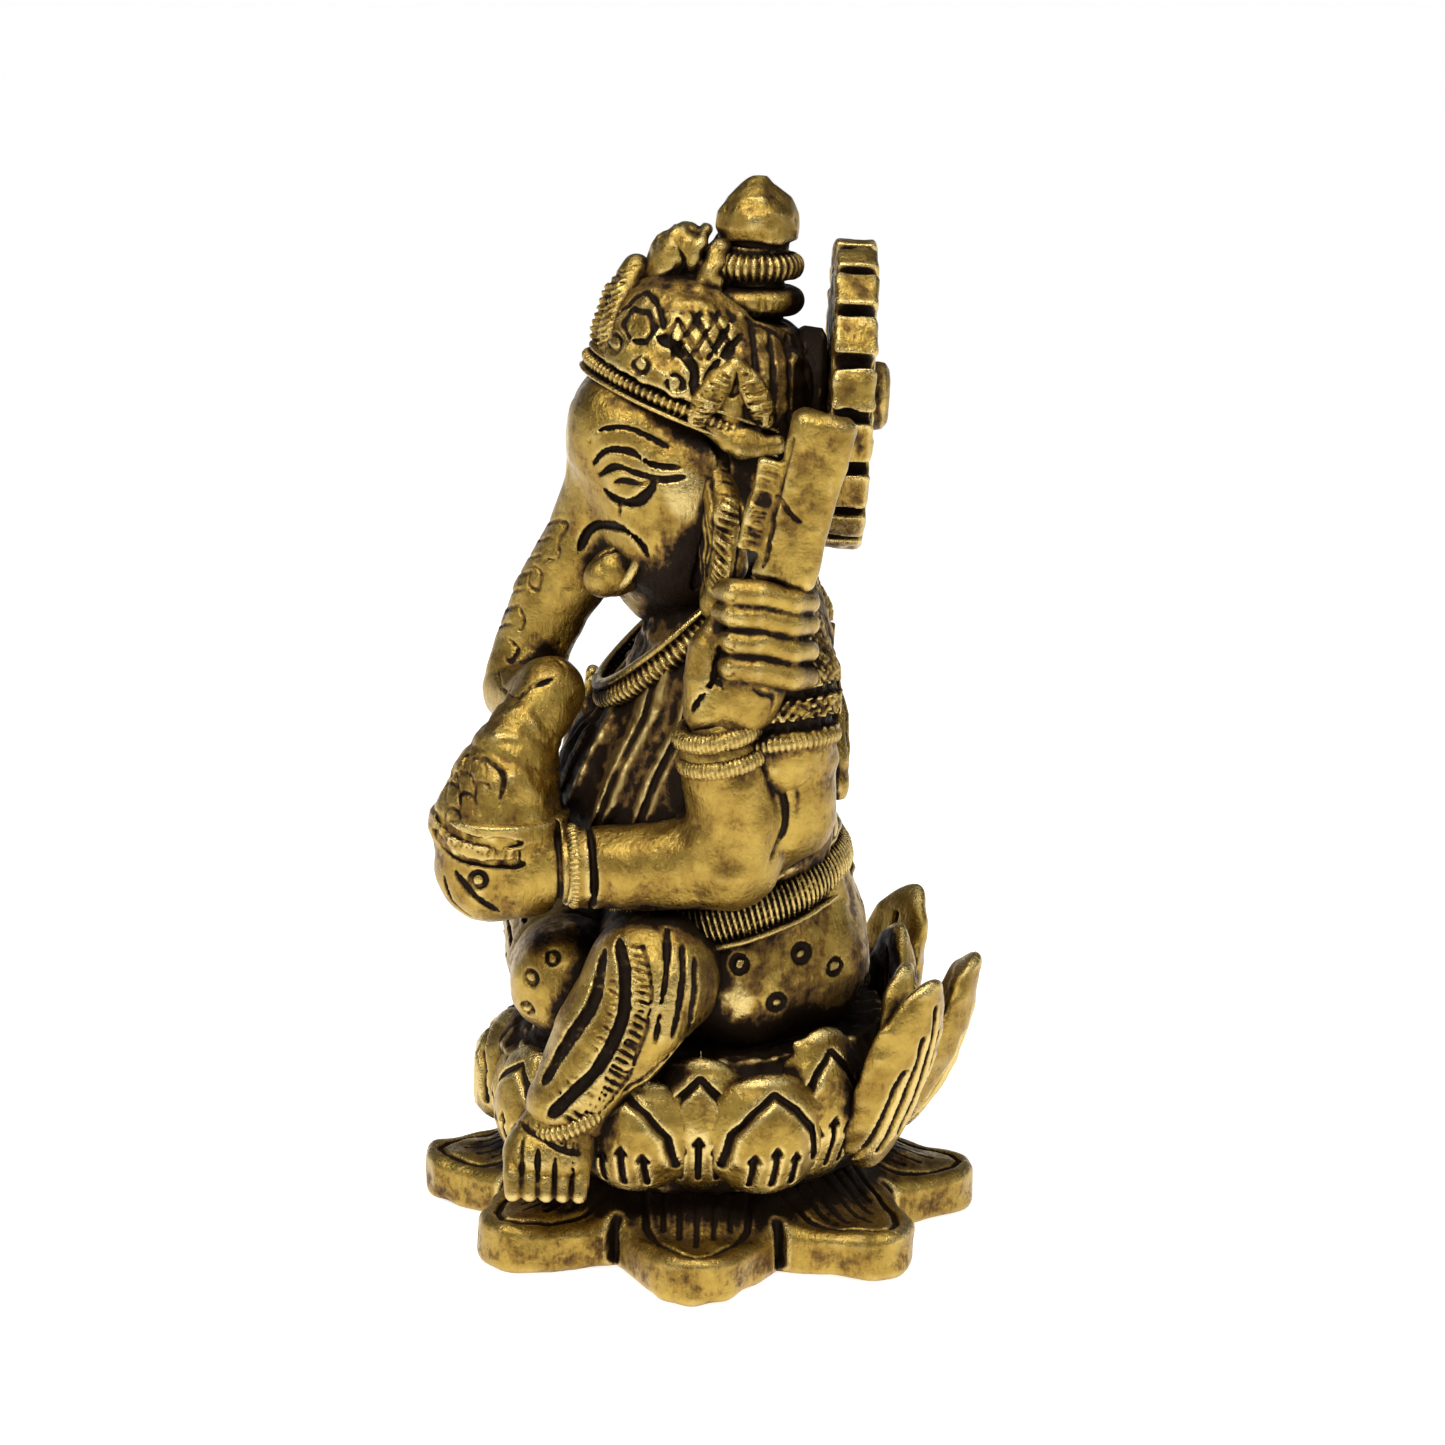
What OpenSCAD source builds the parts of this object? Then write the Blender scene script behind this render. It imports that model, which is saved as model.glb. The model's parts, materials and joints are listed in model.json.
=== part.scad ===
// Seated elephant-headed deity on a double lotus, cast brass.
// The figure faces -Y, its left side is +X, and it stands on Z = 0.
// Skeleton points are [x, y, z, radius] in millimetres for a figure 90 mm tall.

/* [Figure] */
// Overall height from the table to the tip of the crown
figure_h = 90; // [80:1:100]
// Gap left where one cast part is brazed to the next
braze_gap = 0.03; // [0.02:0.01:0.06]
// Facets of the rounded cast forms
form_fn = 14; // [12:2:20]

/* [Base] */
// Reach of the base plate's lobes from the centre
plate_r = 24.3; // [23:0.1:25]
// Thickness of the base plate
plate_t = 3.9; // [3.5:0.1:4.4]
// Number of lobes around the base plate
plate_lobes = 8; // [7:1:9]
// Number of lotus petals in each ring
petals = 10; // [10:2:12]

/* [Halo] */
// Radius of the halo wheel over its lobes
wheel_r = 13; // [12:0.1:13.4]
// Thickness of the halo wheel
wheel_t = 3.5; // [3:0.1:3.6]
// Number of lobes around the halo wheel
wheel_lobes = 18; // [14:1:20]
// Radius of the peg that the wheel turns on
peg_r = 1.6; // [1.2:0.1:2]
// Radial clearance of the wheel on its peg
peg_clearance = 0.05; // [0.03:0.01:0.08]
// Lean of the wheel, its top away from the face
wheel_lean = 1.4; // [0:0.1:4]

/* [Hidden] */
design_h = 90;
brass = [0.72, 0.58, 0.26];
brass_dark = [0.5, 0.39, 0.17];
gap = braze_gap;
small_fn = 8;
space_fn = 10;
petal_gap = 0.33;
space_grow = 0.25;

// ---- plate, bowl and petals ----
lobe_tip_r = 4.2;
lobe_tip_at = plate_r - lobe_tip_r;
lobe_core = 14.6;
lobe_flank = acos((lobe_core - lobe_tip_r) / lobe_tip_at);
lobe_touch = atan2(lobe_tip_r * sin(lobe_flank), lobe_tip_at + lobe_tip_r * cos(lobe_flank));
neck_r = 14.6;
bowl_r = 18.2;
bowl_top = 17;
seat_r = 15.6;
seat_top = 18.6;
wheel_at = [0, 10.9, 72];
peg_head_r = 2.9;
peg_head_t = 1.6;
peg_play = 0.12;
boss_r = 5.6;
boss_t = 2.6;

// ---- the figure's skeleton ----
hips_pts = [[8.1, 3.1, 23.7, 6], [4.7, 6.9, 24.4, 6.9], [6.6, -3.5, 23.9, 5.7], [6.1, 3.6, 28.4, 6.1], [3, 6.2, 29.3, 6.1]];
belt_tilt = 12;
belt_at = [0, 1.8, 31.2];
torso_pts = [[3, -3, 37.4, 9.9], [4.1, 2.3, 35.5, 8.3], [3.5, 1.4, 46.4, 8.2], [6.5, 4.2, 50.4, 5.7], [2.4, 0, 51.8, 5.2]];
left_thigh = [[8.1, 2.6, 23.9, 5.7], [14.2, -3.5, 25.3, 5.7]];
left_shin = [[14.2, -3.7, 24.9, 5.5], [15.8, -7.6, 20.3, 4.7], [17.2, -10.7, 15, 3.6]];
left_foot_pts = [[17.4, -11.4, 12.8, 3.4], [18.2, -13.8, 10.8, 2.6], [19.9, -12.4, 9.2, 2.3], [20.1, -10, 9.6, 2.2]];
panel_pts = [[15.2, -1, 29.2, 1.8], [18.1, -1.1, 25.2, 2.4], [18.6, -3.8, 22, 2.4], [18.2, -5.6, 19.5, 2.2]];
right_thigh = [[-8.1, 2.6, 23.1, 5.7], [-14.8, -5, 21.9, 5.5]];
right_shin = [[-14.8, -5.6, 22.4, 5.2], [-6, -13, 23.3, 5], [2.4, -12.2, 22.6, 4.8]];
right_foot_pts = [[5.5, -11.8, 22.6, 4.8], [7.9, -11.7, 22.6, 4.6]];
sleeve_pts = [[10.7, 5, 53.2, 4.5], [12.2, 5.6, 49.6, 5.3], [12.8, 5.5, 45, 5]];
elbow_pts = [[13, 6.2, 43.5, 4.3], [14, 5.3, 38.4, 4.5], [14.4, 3.3, 35.2, 4.5]];
rear_forearm_pts = [[14.8, 2.9, 37.3, 4.3], [15.6, 1.6, 41.8, 3.6], [16, 1.1, 44.7, 3.4]];
rear_bangles_at = [16.1, 1, 46.1];
rear_fist_pts = [[16.2, 2.5, 49.5, 3.5], [16.6, 3.9, 52.5, 3.9], [16.6, 4.2, 55.8, 3.4]];
axe_at = [17.2, 6.8, 65.4];
front_forearm_pts = [[14.2, 1.8, 34.8, 4.1], [13.8, -3.4, 34.2, 3.7], [12.8, -8.9, 34.1, 3.4]];
front_bracelet_at = [12.4, -10.8, 34];
front_hand_pts = [[12.1, -12.3, 33.9, 3.3], [11.2, -14.9, 33.7, 4.2], [10.6, -17.8, 33.6, 4.6]];
sweet_bowl_at = [10.5, -17.2, 36];
sweets_at = [10.5, -17.1, 38.4];
right_front_forearm_pts = [[-14.2, 1.9, 34.2, 4.1], [-14.2, -3, 35.1, 3.6], [-13.4, -6.6, 36.6, 3.2]];
right_front_bracelet_at = [-13.1, -7.8, 37.7];
right_front_hand_pts = [[-12.8, -8.6, 38.9, 2.9], [-12.6, -9.6, 40.8, 2.9], [-12.4, -10, 42.4, 2.2]];
head_pts = [[3, -2.3, 65, 7.3], [3.2, -6.3, 68.4, 5.7], [3.9, -2.7, 60.6, 5.7], [1.4, -4, 56.6, 4.3], [3, 1, 66, 6.1]];
trunk_pts = [[0, -8.2, 62.3, 4.3], [0, -10.9, 58.3, 3.8], [0, -13.7, 53.9, 3.4], [0.2, -15.2, 49.8, 3.2],
    [1.6, -16.3, 46.4, 3.1], [5.1, -14.8, 45.9, 3], [7.9, -13.3, 47.8, 3], [9.5, -15.2, 44.4, 3], [10.3, -16.6, 41.8, 2.8]];
tusk_pts = [[5.7, -6.2, 58.8, 2.4], [6.5, -8.2, 57.8, 2.1], [6.9, -9.8, 57.3, 1.1]];
ear_pts = [[8.7, -0, 66.1, 1.5], [11.8, 1.1, 63.8, 1.2], [11.8, 1.3, 59.5, 1.2], [9.1, 0.5, 55.8, 1.3]];
ear_root = [7.5, -0.1, 61, 1.6];
cap_pts = [[2.4, -2.2, 73.6, 7.4], [2.6, 1.4, 72.6, 6.7], [1.4, 0.1, 77, 4.7]];
ring_at = [0, 2.8];

// One faceted ball of a cast form.
module ball(p, grow = 0, fn = form_fn) translate([p[0], p[1], p[2]]) hull() sphere(r = p[3] + grow, $fn = fn);
module bead(r, fn = small_fn) hull() sphere(r = r, $fn = fn);

// A limb: one tapered segment between each point and the next.
module chain(pts, grow = 0, fn = form_fn) {
    for (i = [0:len(pts) - 2]) hull() {
        ball(pts[i], grow, fn);
        ball(pts[i + 1], grow, fn);
    }
}

// A body form: the hull of the points and of their mirror images in X.
module twin_blob(pts, grow = 0) hull() for (p = pts, s = [-1, 1]) ball([s * p[0], p[1], p[2], p[3]], grow);

module flip(on) { if (on) mirror([1, 0, 0]) children(); else children(); }

// ---- base ----
function lobe_r(t) = abs(t) < lobe_touch
    ? lobe_tip_at * cos(t) + sqrt(pow(lobe_tip_r, 2) - pow(lobe_tip_at * sin(t), 2))
    : lobe_core / cos(lobe_flank - abs(t));
function lobe_turn(a, n) = a - 360 / n * round(a * n / 360);

module base_plate() color(brass) linear_extrude(plate_t)
    polygon([for (a = [0:2:358]) lobe_r(lobe_turn(a, plate_lobes)) * [cos(a), sin(a)]]);

module bowl_form(grow = 0) rotate_extrude($fn = 96) polygon([[0, plate_t], [neck_r + grow, plate_t],
    [neck_r - 0.6 + grow, plate_t + 1.4], [neck_r + 1 + grow, plate_t + 3.2], [bowl_r - 1 + grow, plate_t + 5.4],
    [bowl_r + grow, plate_t + 8.4], [bowl_r + grow, bowl_top - 1.6], [bowl_r - 1.6 + grow, bowl_top + grow],
    [0, bowl_top + grow]]);

module lotus_bowl() color(brass_dark) bowl_form();

// The space that the petals leave for the bowl and for the figure's legs.
module bowl_space() translate([0, 0, 0.5]) cylinder(r = bowl_r + gap, h = bowl_top, $fn = 60);
module legs_space() {
    chain([[8, 2.6, 23.9, 5.8], [14.2, -3.6, 25.2, 5.9], [17.6, -11.6, 14.2, 5]], space_grow, space_fn);
    chain([[17.6, -12, 12.6, 3.6], [20.1, -11.2, 9.2, 2.6]], space_grow, space_fn);
    hull() for (s = [-1, 1]) {
        ball([s * 7.8, 3.1, 23.8, 6.4], space_grow, space_fn);
        ball([s * 5, 6.4, 24.2, 7], space_grow, space_fn);
    }
    chain([[-8, 2.6, 23.2, 5.8], [-14.8, -5.3, 21.8, 5.6], [4, -12.2, 21.8, 5]], space_grow, space_fn);
}

// One petal: how far its tip leans out past the bowl, and how high the tip is.
module petal(lean, tip_z, grow = 0, fn = small_fn) hull() {
    translate([bowl_r - 0.4, 0, 9.2]) bead(1.4 + grow, fn);
    for (s = [-1, 1]) {
        translate([bowl_r + 0.4 + lean * 0.3, s * 3.4, 12.2]) bead(1.4 + grow, fn);
        translate([bowl_r + 0.6 + lean * 0.7, s * 2.9, 9.2 + (tip_z - 9.2) * 0.72]) bead(1.2 + grow, fn);
    }
    translate([bowl_r + 0.8 + lean, 0, tip_z]) bead(1.1 + grow, fn);
}

// How tall an outer petal stands: 0 beside and in front of the figure, 1 behind it.
function tallness(a) = max(0, min(1, (sin(a) - 0.28) / 0.45));

// How far round to the back, and to the front, an angle lies: 1 straight behind or in front.
function backness(a) = pow(max(0, sin(a)), 2);
function frontness(a) = pow(max(0, -sin(a)), 2);

module outer_ring(grow = 0, fn = small_fn) for (i = [0:petals - 1]) {
    a = 360 / petals * (i + 0.5);
    rotate(a) petal(1 + 3.3 * tallness(a) - 2 * frontness(a),
        16.4 + 8.2 * tallness(a) - 2.4 * pow(backness(a), 4) - 0.5 * frontness(a), grow, fn);
}

module inner_ring() for (i = [0:petals - 1]) {
    a = 360 / petals * i;
    rotate(a) petal(0.4 + 0.8 * backness(a) - 2 * frontness(a), 18 + 6.2 * backness(a) - 2.6 * frontness(a));
}

module left_leg_form(grow = 0) {
    chain(left_thigh, grow);
    chain(left_shin, grow);
}

module outer_petals() color(brass) union() difference() {
    outer_ring();
    bowl_space();
    legs_space();
}

module inner_petals() color(brass) union() difference() {
    inner_ring();
    bowl_space();
    outer_ring(petal_gap, 6);
    seat_form(gap);
    legs_space();
}

module seat_form(grow = 0) translate([0, 0, bowl_top + gap * 2])
    cylinder(r1 = seat_r + grow, r2 = seat_r - 0.8 + grow, h = seat_top - bowl_top, $fn = 96);

module lotus_seat() color(brass_dark) seat_form();

// ---- lower body ----
module hips() color(brass) union() difference() {
    twin_blob(hips_pts);
    seat_form(gap);
    bowl_form(gap);
    belt_form(gap);
    torso_form(gap);
}

module belt_form(grow = 0) translate(belt_at) rotate([belt_tilt, 0, 0]) hull() for (s = [-1, 1])
    translate([s * 3.4, 0, -1.7 - grow]) cylinder(r = 9.9 + grow, h = 3.4 + 2 * grow, $fn = 40);

module waist_belt() color(brass) difference() {
    belt_form();
    torso_form(gap);
}

module torso_form(grow = 0) twin_blob(torso_pts, grow);

module left_leg() color(brass) union() difference() {
    left_leg_form();
    twin_blob(hips_pts, gap);
    seat_form(gap);
    bowl_form(gap);
    belt_form(gap);
    chain(right_foot_pts, gap);
    chain(front_forearm_pts, gap);
    chain(elbow_pts, gap);
    torso_form(gap);
}

module left_foot() color(brass) union() difference() {
    chain(left_foot_pts);
    bowl_form(gap);
    left_leg_form(gap);
    anklet_form(gap);
}

module anklet_form(grow = 0) translate([17.3, -10.9, 14.2]) rotate([22, 10, 0])
    rotate_extrude($fn = 36) translate([3.1, 0]) circle(r = 0.8 + grow, $fn = small_fn);

module left_anklet() color(brass) difference() {
    anklet_form();
    left_leg_form(gap);
    bowl_form(gap);
}

module dhoti_panel() color(brass) union() difference() {
    chain(panel_pts);
    left_leg_form(gap);
    twin_blob(hips_pts, gap);
    belt_form(gap);
    chain(front_forearm_pts, gap);
    chain(elbow_pts, gap);
}

module right_leg() color(brass) union() difference() {
    union() {
        chain(right_thigh);
        chain(right_shin);
    }
    twin_blob(hips_pts, gap);
    seat_form(gap);
    bowl_form(gap);
    belt_form(gap);
    torso_form(gap);
    chain(right_foot_pts, gap);
}

module right_foot() color(brass) union() difference() {
    chain(right_foot_pts);
    seat_form(gap);
    bowl_form(gap);
    twin_blob(hips_pts, gap);
    torso_form(gap);
    belt_form(gap);
}

// ---- torso and dress ----
module torso() color(brass_dark) union() difference() {
    torso_form();
    chain(sleeve_pts, gap);
    mirror([1, 0, 0]) chain(sleeve_pts, gap);
    head_form(gap);
    chain(elbow_pts, gap);
    mirror([1, 0, 0]) chain(elbow_pts, gap);
}

module necklace_form(grow = 0) translate([0, -2.2, 52]) rotate([42, 0, 0]) rotate_extrude($fn = 40)
    translate([9.2, 0]) circle(r = 1.2 + grow, $fn = small_fn);

module necklace() color(brass) union() difference() {
    necklace_form();
    torso_form(gap);
    head_form(gap);
    chain(sleeve_pts, gap);
    mirror([1, 0, 0]) chain(sleeve_pts, gap);
    trunk_form(gap);
    ears_form(gap);
}

module back_sash() color(brass) union() difference() {
    hull() {
        translate([-7.5, 9.3, 47.3]) bead(1.5);
        translate([0, 10.5, 40.4]) bead(1.5);
    }
    torso_form(gap);
    mirror([1, 0, 0]) chain(sleeve_pts, gap);
}

// ---- arms; on = true mirrors one to the figure's right ----
module sleeve(on) color(brass) union() difference() {
    flip(on) chain(sleeve_pts);
    head_form(gap);
    ears_form(gap);
}

module elbow(on) color(brass) union() difference() {
    flip(on) chain(elbow_pts);
    flip(on) chain(sleeve_pts, gap);
    belt_form(gap);
    twin_blob(hips_pts, gap);
}

module rear_forearm(on) color(brass) union() difference() {
    flip(on) chain(rear_forearm_pts);
    flip(on) chain(sleeve_pts, gap);
    flip(on) chain(elbow_pts, gap);
    torso_form(gap);
    belt_form(gap);
    bangle_set(rear_bangles_at, on, gap);
}

module bangle_set(at, on, grow = 0) flip(on) translate(at) rotate([12, 6, 0]) for (z = [-1.1, 1.1])
    translate([0, 0, z]) rotate_extrude($fn = 36) translate([2.9, 0]) circle(r = 1 + grow, $fn = small_fn);

module rear_bangles(on) color(brass) difference() {
    bangle_set(rear_bangles_at, on);
    flip(on) chain(sleeve_pts, gap);
    torso_form(gap);
}

module rear_fist(on) color(brass) union() difference() {
    flip(on) chain(concat([[16.1, 1.2, 45.4, 1.7]], rear_fist_pts));
    flip(on) chain(sleeve_pts, gap);
    flip(on) chain(rear_forearm_pts, gap);
    bangle_set(rear_bangles_at, on, gap);
    head_form(gap);
    ears_form(gap);
}

module axe() color(brass) union() difference() {
    translate(axe_at) rotate([-13, 0, 0]) union() {
        hull() for (z = [-5.4, 5.2]) translate([0, 0, z]) rotate([0, 90, 0]) cylinder(r = 2.5, h = 3.4, center = true, $fn = 24);
        hull() {
            translate([-1.1, -3.8, -3.4]) cube([2.2, 0.6, 6.4]);
            translate([-1.4, -1, -4.6]) cube([2.8, 0.6, 8.4]);
        }
    }
    chain(rear_fist_pts, gap);
    ears_form(gap);
}

module goad() color(brass) union() difference() {
    mirror([1, 0, 0]) translate(axe_at) rotate([-13, 0, 0]) union() {
        translate([0, 0, -1]) cylinder(r = 1.3, h = 11.6, center = true, $fn = 24);
        hull() {
            translate([0, 0, 3.6]) bead(1.6);
            translate([0, 0, 6]) bead(0.6);
        }
        hull() {
            translate([0, -0.6, 2.6]) bead(1.1);
            translate([0, -3.6, 3.2]) bead(0.9);
        }
        hull() {
            translate([0, -3.6, 3.2]) bead(0.9);
            translate([0, -4.2, 0.4]) bead(0.5);
        }
    }
    mirror([1, 0, 0]) chain(rear_fist_pts, gap);
    ears_form(gap);
}

module front_forearm(pts, on) color(brass) union() difference() {
    chain(pts);
    flip(on) chain(elbow_pts, gap);
    flip(on) chain(rear_forearm_pts, gap);
    flip(on) chain(sleeve_pts, gap);
    twin_blob(hips_pts, gap);
    torso_form(gap);
    belt_form(gap);
    bracelet_form(on, gap);
    chain(right_thigh, gap);
}

module bracelet_form(on, grow = 0) translate(on ? right_front_bracelet_at : front_bracelet_at)
    rotate(on ? [50, 0, -14] : [92, 0, 10])
    rotate_extrude($fn = 36) translate([2.7, 0]) circle(r = 1.05 + grow, $fn = small_fn);

module front_bracelet(on) color(brass) union() difference() {
    bracelet_form(on);
    torso_form(gap);
    bowl_dish(gap);
}

module left_front_hand() color(brass) union() difference() {
    chain(front_hand_pts);
    chain(front_forearm_pts, gap);
    bracelet_form(false, gap);
    bowl_dish(gap);
    chain(right_foot_pts, gap);
    chain(right_shin, gap);
}

module bowl_dish(grow = 0) translate(sweet_bowl_at) rotate_extrude($fn = 48) polygon([[0, -2.2 - grow],
    [3.4 + grow, -2.2 - grow], [5.3 + grow, -0.8], [6 + grow, 0.9], [5.8 + grow, 2.1 + grow], [0, 2.1 + grow]]);

module sweet_bowl() color(brass) bowl_dish();

module sweets() color(brass) union() difference() {
    union() {
        for (a = [0:60:300]) translate(sweets_at + [3.5 * cos(a), 3.5 * sin(a), 1]) bead(1.9);
        hull() {
            translate(sweets_at + [0, 0, 0.8]) bead(4);
            translate(sweets_at + [0, 0, 2.8]) bead(2.8);
        }
    }
    bowl_dish(gap);
    trunk_form(gap);
    torso_form(gap);
}

module right_front_hand() color(brass) union() difference() {
    union() {
        chain(concat([[-13, -7.6, 37.7, 1.5]], right_front_hand_pts));
        for (i = [-1.5:1:1.5]) hull() {
            translate([-12.4 + i * 1.25, -9.8, 42.2]) bead(0.8);
            translate([-12.4 + i * 1.3, -10.4, 45 - abs(i) * 0.4]) bead(0.6);
        }
    }
    chain(right_front_forearm_pts, gap);
    bracelet_form(true, gap);
    torso_form(gap);
}

// ---- head and crown ----
module head_form(grow = 0) twin_blob(head_pts, grow);
module trunk_form(grow = 0) chain(trunk_pts, grow);
module cap_form(grow = 0) twin_blob(cap_pts, grow);

module head() color(brass) union() difference() {
    head_form();
    trunk_form(gap);
    band_form(gap);
    cap_form(gap);
    for (s = [false, true]) flip(s) chain(tusk_pts, gap);
    boss_form(gap);
}

module trunk() color(brass) trunk_form();

module tusk(on) color(brass) union() difference() {
    flip(on) chain(tusk_pts);
    trunk_form(gap);
}

module ear_form(grow = 0) {
    for (i = [0:len(ear_pts) - 2]) hull() {
        ball(ear_pts[i], grow);
        ball(ear_pts[i + 1], grow);
        ball(ear_root, grow);
    }
}
module ears_form(grow = 0) {
    ear_form(grow);
    mirror([1, 0, 0]) ear_form(grow);
}

module ear(on) color(brass) union() difference() {
    flip(on) ear_form();
    head_form(gap);
    torso_form(gap);
}

module band_form(grow = 0) translate([0, -1, 70.6]) rotate([-16, 0, 0]) hull() for (y = [-1.4, 1.4])
    translate([0, y, -0.9 - grow]) cylinder(r = 9.4 + grow, h = 1.8 + 2 * grow, $fn = 40);

module crown_band() color(brass) difference() {
    band_form();
    cap_form(gap);
    translate([-15, 5.2, 60]) cube([30, 10, 20]);
}

module crown_cap() color(brass) union() difference() {
    cap_form();
    ring_form(79.7, 4.3, 1.25, gap);
    translate([ring_at[0], ring_at[1], 80]) cylinder(r = 4.2 + gap, h = 5, $fn = 24);
    boss_form(gap);
}

module plate_form(grow = 0) hull() {
    translate([0, -10.3, 74.1]) bead(1.5 + grow);
    for (s = [-1, 1]) translate([s * 2.8, -9.7, 76.7]) bead(1.2 + grow);
    translate([0, -7.2, 82]) bead(1.2 + grow);
}

module crown_front_plate() color(brass) union() difference() {
    plate_form();
    cap_form(gap);
    band_form(gap);
}

module buds_form(grow = 0) for (a = [0, 72, -72]) translate([0, 1, 0]) rotate(a) translate([0, -0.6, 0]) hull() {
    translate([0, -4.9, 80.4]) bead(1.5 + grow);
    translate([0, -4, 82.6]) bead(1.4 + grow);
    translate([0, -3.1, 84.9]) bead(0.7 + grow);
}

module crown_buds() color(brass) union() difference() {
    buds_form();
    cap_form(gap);
    plate_form(gap);
    ring_form(79.7, 4.3, 1.25, gap);
    ring_form(82.6, 4.2, 1.2, gap);
    ring_core(gap);
}

// A ring of the crown: its outer radius, and half its thickness.
module ring_form(z, r, half, grow = 0) translate([ring_at[0], ring_at[1], z]) rotate_extrude($fn = 48) hull() {
    translate([r - half, 0]) circle(r = half + grow, $fn = 20);
    translate([0, -half - grow]) square([0.5, 2 * (half + grow)]);
}
module ring_core(grow = 0) translate([ring_at[0], ring_at[1], 80]) cylinder(r = 2.8 + grow, h = 5, $fn = 40);

module crown_lower_ring() color(brass) ring_form(79.7, 4.3, 1.25);

module crown_upper_ring() color(brass) difference() {
    union() {
        ring_form(82.6, 4.2, 1.2);
        translate([0, 0, 80.98]) translate(concat(ring_at, [0])) cylinder(r = 2.8, h = 1, $fn = 40);
    }
}

module crown_finial() color(brass) translate([ring_at[0], ring_at[1] + 0.3, 0]) rotate_extrude($fn = 48)
    polygon([[0, 83.83], [2.4, 83.83], [2.4, 84.6], [3.3, 84.9], [3.5, 86], [3, 87.7], [2, 89.2], [0.9, 90], [0, 90]]);

module ear_ornaments() color(brass) union() difference() {
    for (s = [-1, 1]) {
        hull() {
            translate([s * 8.7, -0.4, 70.3]) bead(1.6);
            translate([s * 8.5, 1.6, 74.3]) bead(1.5);
        }
        hull() {
            translate([s * 8.5, 1.6, 74.3]) bead(1.5);
            translate([s * 8.5, 4.4, 70.7]) bead(1.7);
        }
    }
    head_form(gap);
    band_form(gap);
    cap_form(gap);
    ears_form(gap);
}

// ---- halo wheel on its peg ----
module wheel_frame() translate(wheel_at) rotate([-90 - wheel_lean, 0, 0]) children();

module boss_form(grow = 0) wheel_frame() translate([0, 0, -wheel_t / 2 - peg_play - boss_t - grow])
    cylinder(r = boss_r + grow, h = boss_t + grow, $fn = 64);

module halo_boss() color(brass_dark) difference() {
    boss_form();
    wheel_frame() translate([0, 0, -wheel_t / 2 - peg_play - boss_t - 1]) cylinder(r = peg_r + gap, h = boss_t + 2, $fn = 64);
}

function wheel_edge(t) = wheel_r - 1.6 * pow(abs(cos(t * wheel_lobes / 2)), 6);

module halo_wheel() color(brass) wheel_frame() difference() {
    translate([0, 0, -wheel_t / 2]) linear_extrude(wheel_t)
        polygon([for (a = [0:1.6:358.4]) wheel_edge(a) * [cos(a), sin(a)]]);
    translate([0, 0, -wheel_t]) cylinder(r = peg_r + peg_clearance, h = 2 * wheel_t, $fn = 64);
}

module halo_peg() color(brass) wheel_frame() {
    translate([0, 0, -wheel_t / 2 - peg_play - boss_t]) cylinder(r = peg_r, h = wheel_t + 2 * peg_play + boss_t, $fn = 64);
    translate([0, 0, wheel_t / 2 + peg_play]) cylinder(r = peg_head_r, h = peg_head_t, $fn = 64);
}

module sized() scale(figure_h / design_h) children();

sized() base_plate();
sized() lotus_bowl();
sized() outer_petals();
sized() inner_petals();
sized() lotus_seat();
sized() hips();
sized() waist_belt();
sized() left_leg();
sized() left_foot();
sized() left_anklet();
sized() dhoti_panel();
sized() right_leg();
sized() right_foot();
sized() torso();
sized() necklace();
sized() back_sash();
sized() sleeve(false);  // left_sleeve
sized() elbow(false);  // left_elbow
sized() rear_forearm(false);  // left_rear_forearm
sized() rear_bangles(false);  // left_rear_bangles
sized() rear_fist(false);  // left_rear_fist
sized() axe();
sized() front_forearm(front_forearm_pts, false);  // left_front_forearm
sized() front_bracelet(false);  // left_front_bracelet
sized() left_front_hand();
sized() sweet_bowl();
sized() sweets();
sized() sleeve(true);  // right_sleeve
sized() elbow(true);  // right_elbow
sized() rear_forearm(true);  // right_rear_forearm
sized() rear_bangles(true);  // right_rear_bangles
sized() rear_fist(true);  // right_rear_fist
sized() goad();
sized() front_forearm(right_front_forearm_pts, true);  // right_front_forearm
sized() front_bracelet(true);  // right_front_bracelet
sized() right_front_hand();
sized() head();
sized() trunk();
sized() tusk(false);  // left_tusk
sized() tusk(true);  // right_tusk
sized() ear(false);  // left_ear
sized() ear(true);  // right_ear
sized() crown_cap();
sized() crown_band();
sized() crown_front_plate();
sized() crown_buds();
sized() crown_lower_ring();
sized() crown_upper_ring();
sized() crown_finial();
sized() ear_ornaments();
sized() halo_boss();
sized() halo_peg();
sized() halo_wheel();
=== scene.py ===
import json
from math import cos, pi, radians, sin

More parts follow.
